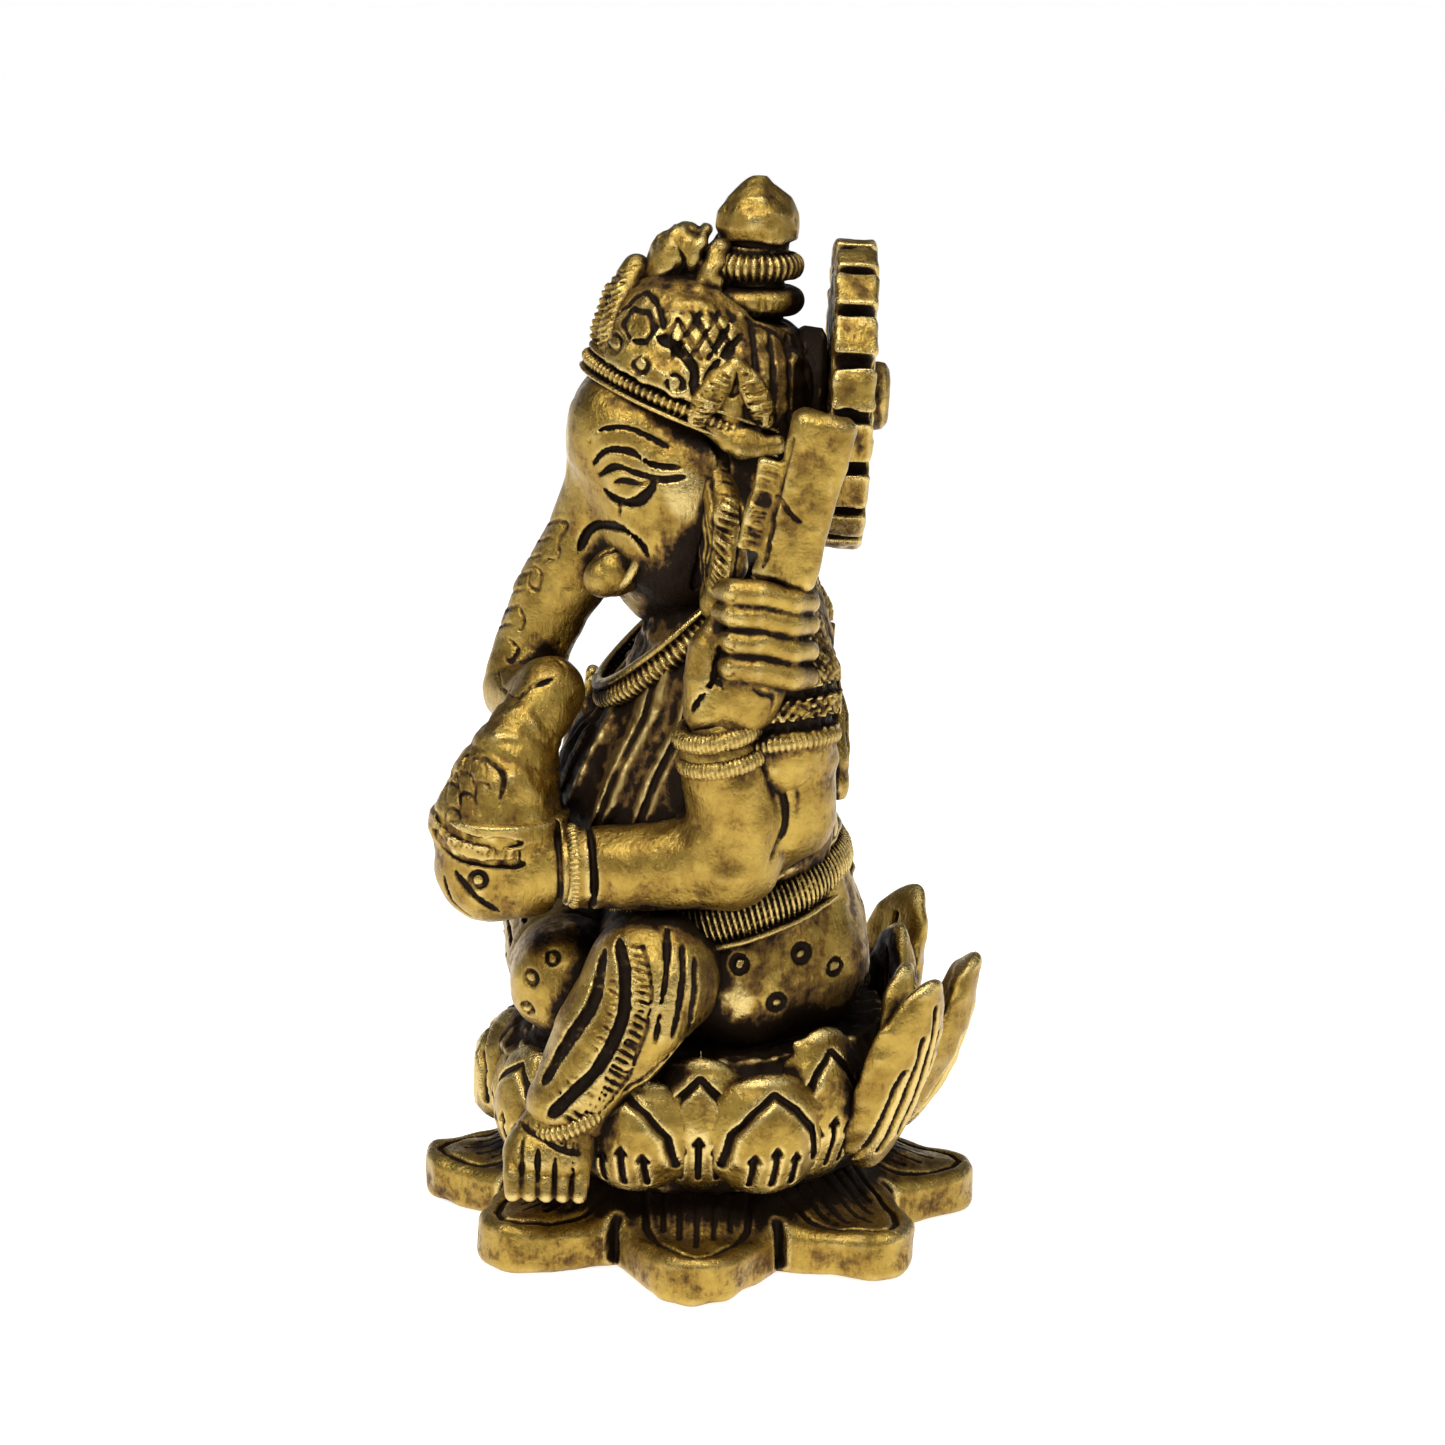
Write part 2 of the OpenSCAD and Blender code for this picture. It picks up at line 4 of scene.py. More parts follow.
import bpy
import numpy as np
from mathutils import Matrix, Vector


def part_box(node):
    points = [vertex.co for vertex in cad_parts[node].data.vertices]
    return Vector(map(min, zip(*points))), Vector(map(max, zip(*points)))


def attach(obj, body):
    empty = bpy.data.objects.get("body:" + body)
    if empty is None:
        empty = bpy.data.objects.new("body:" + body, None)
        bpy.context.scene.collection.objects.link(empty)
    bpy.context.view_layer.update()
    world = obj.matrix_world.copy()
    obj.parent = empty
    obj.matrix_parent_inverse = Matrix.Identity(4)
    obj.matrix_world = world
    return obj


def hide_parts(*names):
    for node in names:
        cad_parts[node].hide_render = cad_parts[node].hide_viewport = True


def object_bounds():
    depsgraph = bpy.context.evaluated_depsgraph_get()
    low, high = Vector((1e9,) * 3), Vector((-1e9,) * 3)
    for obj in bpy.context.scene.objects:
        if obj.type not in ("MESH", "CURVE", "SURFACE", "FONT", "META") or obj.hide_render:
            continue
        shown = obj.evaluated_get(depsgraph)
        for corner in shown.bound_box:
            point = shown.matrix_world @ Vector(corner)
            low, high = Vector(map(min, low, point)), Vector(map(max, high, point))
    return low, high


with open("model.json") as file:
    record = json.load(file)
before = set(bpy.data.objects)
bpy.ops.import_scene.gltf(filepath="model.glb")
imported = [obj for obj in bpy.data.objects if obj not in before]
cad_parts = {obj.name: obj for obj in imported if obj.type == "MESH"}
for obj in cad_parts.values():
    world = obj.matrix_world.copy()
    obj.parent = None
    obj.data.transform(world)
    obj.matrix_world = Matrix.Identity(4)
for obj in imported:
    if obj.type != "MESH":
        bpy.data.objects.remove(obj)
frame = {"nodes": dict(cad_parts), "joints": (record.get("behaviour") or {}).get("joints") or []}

import openvdb
from mathutils import Quaternion, Vector

cad_low, cad_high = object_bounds()
FIGURE_MM = 90.0
UNIT = (cad_high.z - cad_low.z) / FIGURE_MM  # metres for each sculpting millimetre
VOXEL = 0.16         # sculpting resolution, mm
CREVICE_VOXEL = 0.5                          # coarse grid that finds the crevices, mm
FAR = 4.0                                    # distances are kept within this, mm
STEP = 0.35                                  # spacing of the points along an engraved line, mm
LEAP = 2.2                                   # an engraved line isn't carried over a drop this deep, mm
LINE_EDGE = 0.08                             # softness of an engraved line's edges, mm
TAU = 2 * pi
LEFT, RIGHT, FRONT, BACK, TOP = (0, 1), (0, -1), (1, -1), (1, 1), (2, 1)  # ways to face: axis, sign
SIDES = (("left", False), ("right", True))   # name, whether it is mirrored from the left


# ---------------------------------------------------------------- shapes
# A shape is (lowest corner, highest corner, distance function of x, y, z), all in millimetres.

def spread(low, high, grow):
    """A box made larger by grow on every side."""
    return np.asarray(low, float) - grow, np.asarray(high, float) + grow


def limb(points):
    """Tapered round segments through points of x, y, z, radius."""
    pts = np.asarray(points, float)
    low, high = (pts[:, :3] - pts[:, 3:]).min(0), (pts[:, :3] + pts[:, 3:]).max(0)

    def distance(x, y, z):
        best = None
        for a, b in zip(pts[:-1], pts[1:]):
            ab = b[:3] - a[:3]
            along = ((x - a[0]) * ab[0] + (y - a[1]) * ab[1] + (z - a[2]) * ab[2]) / max(ab @ ab, 1e-9)
            t = np.clip(along, 0, 1)
            dx, dy, dz = (v - a[i] - t * ab[i] for i, v in enumerate((x, y, z)))
            d = np.sqrt(dx ** 2 + dy ** 2 + dz ** 2) - (a[3] + t * (b[3] - a[3]))
            best = d if best is None else np.minimum(best, d)
        return best

    return low, high, distance


def turned(turn):
    """Rotation matrix for turns in degrees about X, then Y, then Z."""
    a, b, c = (radians(t) for t in turn)
    rx = np.array([[1, 0, 0], [0, cos(a), -sin(a)], [0, sin(a), cos(a)]])
    ry = np.array([[cos(b), 0, sin(b)], [0, 1, 0], [-sin(b), 0, cos(b)]])
    rz = np.array([[cos(c), -sin(c), 0], [sin(c), cos(c), 0], [0, 0, 1]])
    return rz @ ry @ rx


def placed(centre, turn, reach, local):
    """A shape given by its distance in its own axes, centred and turned; reach is its half size."""
    m = turned(turn)
    c = np.asarray(centre, float)
    span = np.abs(m) @ np.asarray(reach, float)

    def distance(x, y, z):
        dx, dy, dz = x - c[0], y - c[1], z - c[2]
        return local(*(m[0, i] * dx + m[1, i] * dy + m[2, i] * dz for i in range(3)))

    return c - span, c + span, distance


def egg(centre, radii, turn=(0, 0, 0)):
    """An ellipsoid."""
    rx, ry, rz = radii

    def local(x, y, z):
        k = np.sqrt((x / rx) ** 2 + (y / ry) ** 2 + (z / rz) ** 2)
        g = np.sqrt((x / rx ** 2) ** 2 + (y / ry ** 2) ** 2 + (z / rz ** 2) ** 2)
        return k * (k - 1) / np.maximum(g, 1e-6)

    return placed(centre, turn, radii, local)


def slab(centre, half, turn=(0, 0, 0), edge=0.3):
    """A block with rounded edges; half is half its size."""

    def local(x, y, z):
        q = [np.abs(v) - (h - edge) for v, h in zip((x, y, z), half)]
        out = np.sqrt(sum(np.maximum(v, 0) ** 2 for v in q))
        return out + np.minimum(np.maximum(np.maximum(q[0], q[1]), q[2]), 0) - edge

    return placed(centre, turn, half, local)


def hoop(centre, radii, tube, turn=(0, 0, 0), ribs=0, rib_depth=0.0):
    """A ring about its own Z: path radii (x, y), section (across, along Z), with optional ribs."""
    rx, ry = radii
    across, tall = tube

    def local(x, y, z):
        angle = np.arctan2(y / ry, x / rx)
        rho = np.sqrt(x ** 2 + y ** 2)
        path = rho * rx * ry / np.maximum(np.sqrt((ry * x) ** 2 + (rx * y) ** 2), 1e-6)
        k = np.sqrt(((rho - path) / across) ** 2 + (z / tall) ** 2)
        d = (k - 1) * min(across, tall)
        if ribs:
            d = d + rib_depth * (0.5 - 0.5 * np.cos(ribs * angle)) ** 2
        return d

    return placed(centre, turn, (rx + across, ry + across, tall), local)


def lathe(centre, profile, turn=(0, 0, 0)):
    """A turned solid: profile is (radius, height) up the axis, starting and ending on it."""
    prof = np.asarray(profile, float)
    reach = (prof[:, 0].max(),) * 2 + (np.abs(prof[:, 1]).max(),)

    def local(x, y, z):
        rho = np.sqrt(x ** 2 + y ** 2)
        zz = z + 0 * rho
        best, crossings = np.full(rho.shape, 1e9, np.float32), np.zeros(rho.shape, bool)
        for (r0, z0), (r1, z1) in zip(prof[:-1], prof[1:]):
            dr, dz = r1 - r0, z1 - z0
            t = np.clip(((rho - r0) * dr + (zz - z0) * dz) / max(dr * dr + dz * dz, 1e-9), 0, 1)
            best = np.minimum(best, (rho - r0 - t * dr) ** 2 + (zz - z0 - t * dz) ** 2)
            if z0 != z1:
                crossings ^= ((z0 > zz) != (z1 > zz)) & (rho < r0 + (zz - z0) / dz * dr)
        return np.sqrt(best) * np.where(crossings, -1, 1)

    return placed(centre, turn, reach, local)


def joined(shapes, blend=0.0):
    """Several shapes as one, filleted by about blend."""
    low = np.min([s[0] for s in shapes], axis=0)
    high = np.max([s[1] for s in shapes], axis=0)

    def distance(x, y, z):
        out = shapes[0][2](x, y, z)
        for s in shapes[1:]:
            out = soft_min(out, s[2](x, y, z), blend)
        return out

    return low, high, distance


def both_sides(shape):
    """The shape and its mirror image across X = 0."""
    low, high, distance = shape
    reach = max(abs(low[0]), abs(high[0]))
    low, high = np.array([-reach, *low[1:]]), np.array([reach, *high[1:]])
    return low, high, lambda x, y, z: distance(np.abs(x), y, z)


WIDE_FILLET = 1.5


def wide_limb(points, links):
    """Balls joined across X = 0: a point is half width, y, z, radius, and links are the joined pairs."""
    pts = np.asarray(points, float)
    reach = (pts[:, 0] + pts[:, 3]).max()
    low = np.array([-reach, *(pts[:, 1:3] - pts[:, 3:]).min(0)])
    high = np.array([reach, *(pts[:, 1:3] + pts[:, 3:]).max(0)])

    def distance(x, y, z):
        best = None
        for i, j in links:
            a, b = pts[i], pts[j]
            ab = b[1:3] - a[1:3]
            t = np.clip(((y - a[1]) * ab[0] + (z - a[2]) * ab[1]) / max(ab @ ab, 1e-9), 0, 1)
            side = np.maximum(np.abs(x) - (a[0] + t * (b[0] - a[0])), 0)
            gone = np.sqrt(side ** 2 + (y - a[1] - t * ab[0]) ** 2 + (z - a[2] - t * ab[1]) ** 2)
            d = gone - (a[3] + t * (b[3] - a[3]))
            best = d if best is None else soft_min(best, d, WIDE_FILLET)
        return best

    return low, high, distance


def near(path, p, q):
    """Distance in a plane from the points p, q to a path of pairs."""
    best = None
    for (ap, aq), (bp, bq) in zip(path[:-1], path[1:]):
        dp, dq = bp - ap, bq - aq
        t = np.clip(((p - ap) * dp + (q - aq) * dq) / max(dp * dp + dq * dq, 1e-9), 0, 1)
        d = (p - ap - t * dp) ** 2 + (q - aq - t * dq) ** 2
        best = d if best is None else np.minimum(best, d)
    return np.sqrt(best)


def scored(gone, width, depth):
    """How far a line of that width sinks the surface, at a distance gone from it."""
    t = np.clip(1.25 - 2 * gone / width, 0, 1)
    return depth * t * t * (3 - 2 * t)


def mirrored(shape):
    """The same shape on the other side of X = 0."""
    low, high, distance = shape
    low, high = np.array([-high[0], *low[1:]]), np.array([-low[0], *high[1:]])
    return low, high, lambda x, y, z: distance(-x, y, z)


def rounded(side, top, edge):
    """Distance to a slab with a rounded edge, from the distances past its outline and past its faces."""
    q, p = side + edge, top + edge
    return np.sqrt(np.maximum(q, 0) ** 2 + np.maximum(p, 0) ** 2) + np.minimum(np.maximum(q, p), 0) - edge


def soft_min(a, b, k):
    """The smaller of two distances, filleted over about k where they meet."""
    if k <= 0:
        return np.minimum(a, b)
    h = np.maximum(k - np.abs(a - b), 0) / k
    return np.minimum(a, b) - h * h * k / 4


# ---------------------------------------------------------------- clay
CREVICE_LOW = np.array([-30.0, -30.0, -3.0])  # lowest corner of the coarse grid
CREVICE_SHAPE = (120, 120, 200)
solid_near = np.full(CREVICE_SHAPE, FAR, np.float32)  # every piece's distance, on the coarse grid


class Clay:
    """One piece's block of signed distances, as big as its CAD nodes and a margin."""

    def __init__(self, *nodes, margin=1.6, flip=False):
        self.nodes = nodes
        corners = [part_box(n) for n in nodes]
        low = np.min([c[0][:] for c in corners], axis=0) / UNIT - margin
        high = np.max([c[1][:] for c in corners], axis=0) / UNIT + margin
        self.flip = flip  # shapes and paths are written for the left side and mirrored to the right
        self.first = np.floor(low / VOXEL).astype(int)
        self.field = np.full(np.ceil(high / VOXEL).astype(int) - self.first, FAR, np.float32)

    def places(self, a, b):
        """Where the samples from index a up to b lie, mm, along X, along Y and along Z."""
        axes = [((np.arange(a[i], b[i]) + self.first[i]) * VOXEL).astype(np.float32) for i in range(3)]
        return axes[0][:, None, None], axes[1][None, :, None], axes[2][None, None, :]

    def window(self, low, high):
        """The samples inside a box, as slices and as places."""
        a = np.clip(np.floor(np.asarray(low) / VOXEL).astype(int) - self.first, 0, self.field.shape)
        b = np.clip(np.ceil(np.asarray(high) / VOXEL).astype(int) + 1 - self.first, 0, self.field.shape)
        if (b <= a).any():
            return None, None
        return tuple(slice(a[i], b[i]) for i in range(3)), self.places(a, b)

    def join(self, shape, blend=0.3, sign=1):
        """Adds a shape, filleted by about blend; a sign of -1 takes it away instead."""
        shape = mirrored(shape) if self.flip else shape
        where, at = self.window(*spread(shape[0], shape[1], blend + 3 * VOXEL))
        if where:
            self.field[where] = sign * soft_min(sign * self.field[where], shape[2](*at), blend)
        return self

    def cut(self, shape, blend=0.1):
        """Takes a shape away, with edges softened by about blend."""
        return self.join(shape, blend, sign=-1)

    def surface(self, point, towards):
        """The first surface point met on the way from outside to the point, along one axis."""
        axis, sign = towards
        index = np.round(np.asarray(point, float) / VOXEL).astype(int) - self.first
        index = np.clip(index, 0, np.array(self.field.shape) - 1)
        pick = [index[0], index[1], index[2]]
        pick[axis] = slice(None)
        line = self.field[tuple(pick)]
        inside = np.where(line < 0)[0]
        if not len(inside):
            return None
        i = inside[-1] if sign > 0 else inside[0]
        j = min(max(i + sign, 0), len(line) - 1)
        step = line[i] / (line[i] - line[j]) if line[j] > 0 else 0.0
        out = np.asarray(point, float).copy()
        out[axis] = (i + self.first[axis] + sign * step) * VOXEL
        return out

    def draped(self, path, towards, closed):
        """A path's points moved onto the surface; a step with no surface under it is left out."""
        pts = smooth_path(path, closed)
        found = [self.surface(p, towards) for p in pts]
        return [p for p in found if p is not None]

    def groove(self, path, width=0.45, depth=0.3, towards=LEFT, closed=False, both=False):
        """Engraves a line on the surface that faces one way; its path lies in the plane across that way.

        A point of the path is y, z on the left or right and x, z on the front or back. Where its surface
        runs far in or out it is x, y, z, which only spaces the strokes along it.
        """
        axis, sign = towards
        radius = width / 2
        path = [np.array(p if len(p) == 3 else np.insert(p, axis, 0.0), float) for p in path]
        for side in (1, -1) if both else (-1 if self.flip else 1,):
            way = sign * side if axis == 0 else sign
            ends = np.array(self.draped([p * (side, 1, 1) for p in path], (axis, way), closed))
            if len(ends) < 2:
                continue
            ends[:, axis] += way * max(radius - depth, -radius)
            leaps = np.linalg.norm(np.diff(ends, axis=0), axis=1) > LEAP
            run = []
            for i, p in enumerate(ends):
                if run and leaps[i - 1]:
                    self.carve(run)
                    run = []
                taper = 1.0 if closed else min(1.0, 0.45 + 0.55 * min(i, len(ends) - 1 - i) / 1.5)
                run.append([*p, radius * taper])
            self.carve(run)
        return self

    def carve(self, run):
        """Cuts a round stroke through points of x, y, z, radius, a few steps at a time."""
        if len(run) == 1:
            run = run * 2
        for i in range(0, len(run) - 1, 3):
            low, high, distance = limb(run[i:i + 4])
            where, at = self.window(*spread(low, high, 0.2 + 2 * VOXEL))
            if where:
                self.field[where] = -soft_min(-self.field[where], distance(*at), LINE_EDGE)

    def score(self, path, width, depth, towards):
        """Sinks a line, drawn in the plane across one axis, into the half of the piece on that side."""
        axis, sign = towards
        at = self.places((0, 0, 0), self.field.shape)
        p, q = (at[i] for i in range(3) if i != axis)
        self.field += ramp(sign * at[axis], 1.0, 3.0) * scored(near(path, p, q), width, depth)

    def punch(self, point, radius=0.85, towards=LEFT, width=0.36, depth=0.28, both=False):
        """A ring struck with a round punch."""
        p, q = point
        ring = [(p + radius * cos(t), q + radius * sin(t)) for t in np.linspace(0, TAU, 13)]
        return self.groove(ring, width, depth, towards, closed=True, both=both)

    def ticks(self, one, other, count, width=0.26, depth=0.2, towards=LEFT, both=False):
        """Short strokes from one path to the other, evenly along both."""
        one, other = (np.array(smooth_path(p)) for p in (one, other))
        for t in np.linspace(0, 1, count):
            a = one[int(round(t * (len(one) - 1)))]
            b = other[int(round(t * (len(other) - 1)))]
            self.groove([a, b], width, depth, towards, both=both)
        return self

    def hatched(self, low, high, towards, spacing=0.9, lean=1.0, width=0.26, depth=0.16, both=False):
        """Crossed strokes between two corners of the plane across one axis."""
        across, tall = np.subtract(high, low)
        run = tall / lean
        for way in (-1, 1):
            for start in np.arange(-run, across + run, spacing):
                foot = np.array([low[0] + start + (0 if way > 0 else run), low[1]])
                rise = np.array([way * run, tall])
                t = np.clip((np.array([low[0], high[0]]) - foot[0]) / rise[0], 0, 1)
                a, b = foot + min(t) * rise, foot + max(t) * rise
                if np.linalg.norm(b - a) > 0.6:
                    self.groove([a, b], width, depth, towards, both=both)
        return self

    def hammer(self, amount, size, seed):
        """Slow hand-made unevenness over the whole piece."""
        rng = np.random.default_rng(seed)
        cells = np.ceil(np.array(self.field.shape) * VOXEL / size).astype(int) + 3
        noise = rng.normal(size=cells).astype(np.float32)
        for axis, n in enumerate(self.field.shape):
            at = np.arange(n) * VOXEL / size
            i = at.astype(int)
            t = (at - i).astype(np.float32)
            t = t * t * (3 - 2 * t)
            shape = [1, 1, 1]
            shape[axis] = n
            t = t.reshape(shape)
            noise = np.take(noise, i, axis) * (1 - t) + np.take(noise, i + 1, axis) * t
        self.field += amount * noise
        return self

    def into_crevices(self):
        """Adds this piece to the coarse grid of the whole figure."""
        origin = self.first * VOXEL
        axes = []
        for a in range(3):
            coarse = CREVICE_LOW[a] + np.arange(CREVICE_SHAPE[a]) * CREVICE_VOXEL
            at = (coarse - origin[a]) / VOXEL
            ok = (at >= 0) & (at <= self.field.shape[a] - 1)
            axes.append((np.where(ok)[0], np.round(at[ok]).astype(int)))
        if any(len(a[0]) == 0 for a in axes):
            return
        target = np.ix_(*(a[0] for a in axes))
        solid_near[target] = np.minimum(solid_near[target], self.field[np.ix_(*(a[1] for a in axes))])


def smooth_path(path, closed=False):
    """Catmull-Rom points through a path, about a step apart."""
    pts = [np.asarray(p, float) for p in path]
    if closed or len(pts) == 2:
        ext = [pts[0]] + pts + [pts[-1]]
    else:
        ext = [2 * pts[0] - pts[1]] + pts + [2 * pts[-1] - pts[-2]]
    out = [pts[0]]
    for a, b, c, d in zip(ext[:-3], ext[1:-2], ext[2:-1], ext[3:]):
        n = max(1, int(np.linalg.norm(c - b) / STEP))
        for i in range(1, n + 1):
            t = i / n
            if closed or len(pts) == 2:
                out.append(b + (c - b) * t)
            else:
                out.append(0.5 * (2 * b + (c - a) * t + (2 * a - 5 * b + 4 * c - d) * t ** 2
                                  + (3 * b - a - 3 * c + d) * t ** 3))
    return out


def box_blur(grid, size):
    """The mean over a cube of size samples, done one axis at a time."""
    for axis in range(3):
        pad = [(0, 0)] * 3
        pad[axis] = (size // 2 + 1, size // 2)
        total = np.cumsum(np.pad(grid, pad, mode="edge"), axis=axis, dtype=np.float32)
        n = grid.shape[axis]
        ahead = np.take(total, np.arange(size, size + n), axis)
        behind = np.take(total, np.arange(0, n), axis)
        grid = (ahead - behind) / size
    return grid


def sampled(grid, at):
    """Trilinear samples of a grid at fractional indices."""
    at = np.clip(at, 0, np.array(grid.shape) - 1.001)
    i = at.astype(int)
    t = at - i
    out = 0
    for dx in (0, 1):
        for dy in (0, 1):
            for dz in (0, 1):
                w = np.abs(1 - dx - t[:, 0]) * np.abs(1 - dy - t[:, 1]) * np.abs(1 - dz - t[:, 2])
                out = out + w * grid[i[:, 0] + dx, i[:, 1] + dy, i[:, 2] + dz]
    return out


finished = []  # (object, its vertices in millimetres, cavity, stain and painted shade) of every piece, for the patina and painted shade


HOLLOW_REACH = 1.1   # size of the cube whose mean tells hollow from proud, mm
HOLLOW_FULL = 0.2    # depth of the mean surface that counts as fully hollow, mm


def cavity(clay, where):
    """How hollow the surface is close round each vertex: -1 on a ridge, 0 on a flat, 1 down a groove."""
    reach = max(3, int(round(HOLLOW_REACH / VOXEL)) | 1)
    mean = box_blur(np.clip(clay.field, -1, 1), reach)
    hollow = -sampled(mean, where / VOXEL - clay.first)
    return np.clip(hollow / HOLLOW_FULL, -1, 1).astype(np.float32)


def cast(clay, name=None, body="figure", stain_and_shade=0.0):
    """Meshes the clay as a piece that replaces its CAD nodes; its stain value, a number or a function,
    darkens it, partly as stain and partly as painted shade.
    """
    nodes = clay.nodes
    name = (name or nodes[0]) + "_cast"
    grid = openvdb.FloatGrid(background=FAR)
    grid.copyFromArray(clay.field)
    verts, quads = grid.convertToQuads()[:2]
    mesh = bpy.data.meshes.new(name)
    mesh.from_pydata([], [], [])
    mesh.vertices.add(len(verts))
    where = (np.asarray(verts) + clay.first) * VOXEL
    mesh.vertices.foreach_set("co", (where * UNIT).astype(np.float32).ravel())
    mesh.loops.add(quads.size)
    mesh.loops.foreach_set("vertex_index", np.asarray(quads).astype(np.int32).ravel())
    mesh.polygons.add(len(quads))
    mesh.polygons.foreach_set("loop_start", np.arange(0, quads.size, 4, dtype=np.int32))
    mesh.polygons.foreach_set("loop_total", np.full(len(quads), 4, np.int32))
    mesh.polygons.foreach_set("use_smooth", np.ones(len(quads), bool))
    mesh.update(calc_edges=True)
    mesh.validate()
    obj = bpy.data.objects.new(name, mesh)
    bpy.context.collection.objects.link(obj)
    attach(obj, body)
    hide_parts(*nodes)
    clay.into_crevices()
    shade = stain_and_shade(*where.T) if callable(stain_and_shade) else np.full(len(where), stain_and_shade)
    finished.append((obj, where, cavity(clay, where), shade))


def ramp(value, low, high):
    """0 up to low, 1 from high on."""
    return np.clip((value - low) / (high - low), 0, 1)


def middle(node):
    """Centre of a CAD node's box, mm."""
    low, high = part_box(node)
    return np.array((low + high)[:]) / 2 / UNIT


def half(node):
    """Half the size of a CAD node's box, mm."""
    low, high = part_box(node)
    return np.array((high - low)[:]) / 2 / UNIT


# ---------------------------------------------------------------- base plate
LOBES = 8
plate_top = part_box("base_plate")[1].z / UNIT
lobe_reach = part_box("base_plate")[1].x / UNIT
LOBE_TIP = 4.2     # radius of a lobe's rounded end
LOBE_CORE = 14.6   # distance from the centre to the lobes' straight flanks


def plate_distance(x, y, z):
    """A plate of eight petals, each engraved with its outline and five veins."""
    tip_at = lobe_reach - LOBE_TIP
    flank = np.arccos((LOBE_CORE - LOBE_TIP) / tip_at)
    sector = TAU / LOBES
    angle = np.arctan2(y, x)
    t = angle - sector * np.round(angle / sector)
    rho = np.sqrt(x ** 2 + y ** 2)
    u, v = rho * np.cos(t), np.abs(rho * np.sin(t))
    past = -(u - tip_at - LOBE_TIP * cos(flank)) * sin(flank) + (v - LOBE_TIP * sin(flank)) * cos(flank)
    outline = np.where(past > 0, u * cos(flank) + v * sin(flank) - LOBE_CORE,
                       np.sqrt((u - tip_at) ** 2 + v ** 2) - LOBE_TIP)
    rise = 0.35 * np.clip(1 - v / 5, 0, 1) + 2.3 * np.clip((19.5 - rho) / 4.5, 0, 1) ** 1.5
    d = rounded(outline, np.abs(z - plate_top / 2) - plate_top / 2 - rise * (z > 1), 0.9)
    upper = np.clip(z - plate_top - rise + 1.4, 0, 1)
    leaf = near([(14.4, 4.4), (17.6, 4.2), (20.4, 3.0), (22.3, 1.4), (23.0, 0)], u, v)
    d = d + upper * scored(leaf, 0.6, 0.36)
    for side, end in ((0.0, 20.6), (1.5, 19.4), (2.9, 17.9)):
        d = d + upper * scored(near([(14, side), (end, side * 0.95)], u, v), 0.42, 0.24)
    turn = np.abs(t) - sector / 2
    notch = near([(17.6, 0), (19.6, 0)], rho * np.cos(turn), rho * np.sin(turn))
    return d + np.clip((z - 0.6) * 1.5, 0, 1) * scored(notch, 1.0, 0.8)


clay = Clay("base_plate", margin=3.0)
plate_box = [np.array(corner[:]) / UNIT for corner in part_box("base_plate")]
clay.join((plate_box[0], plate_box[1] + 2.5, plate_distance), 0)
clay.hammer(0.09, 1.7, 1).hammer(0.12, 3.5, 41)


def plate_stain_and_shade(x, y, z):
    """Painted shade over an even darkening: dark on top towards the middle, round the lotus, and a little
    along the foot.
    """
    return 0.15 + 0.8 * ramp(-np.hypot(x, y), -21.0, -16.5) * ramp(z, 2.0, 3.2) + 0.3 * ramp(-z, -2.4,
                                                                                             -0.4)


cast(clay, stain_and_shade=plate_stain_and_shade)

# ---------------------------------------------------------------- lotus
bowl_low, bowl_high = (np.array(c[:]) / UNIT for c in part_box("lotus_bowl"))
bowl_r = bowl_high[0]
seat_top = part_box("lotus_seat")[1].z / UNIT
clay = Clay("lotus_bowl", "lotus_seat")
clay.join(lathe((0, 0, 0), [(0, bowl_low[2] - 0.2), (15.0, bowl_low[2] - 0.2), (14.2, 5.4), (15.4, 7.0),
                            (17.0, 9.2), (bowl_r - 0.3, 12.4), (bowl_r - 0.3, 15.4), (16.8, 16.8),
                            (15.6, seat_top - 0.4), (0, seat_top)]), 0)
clay.hammer(0.16, 0.9, 2).hammer(0.1, 2.4, 3)
cast(clay, stain_and_shade=1.0)

PETALS = 10
PETAL_FOOT = 7.4


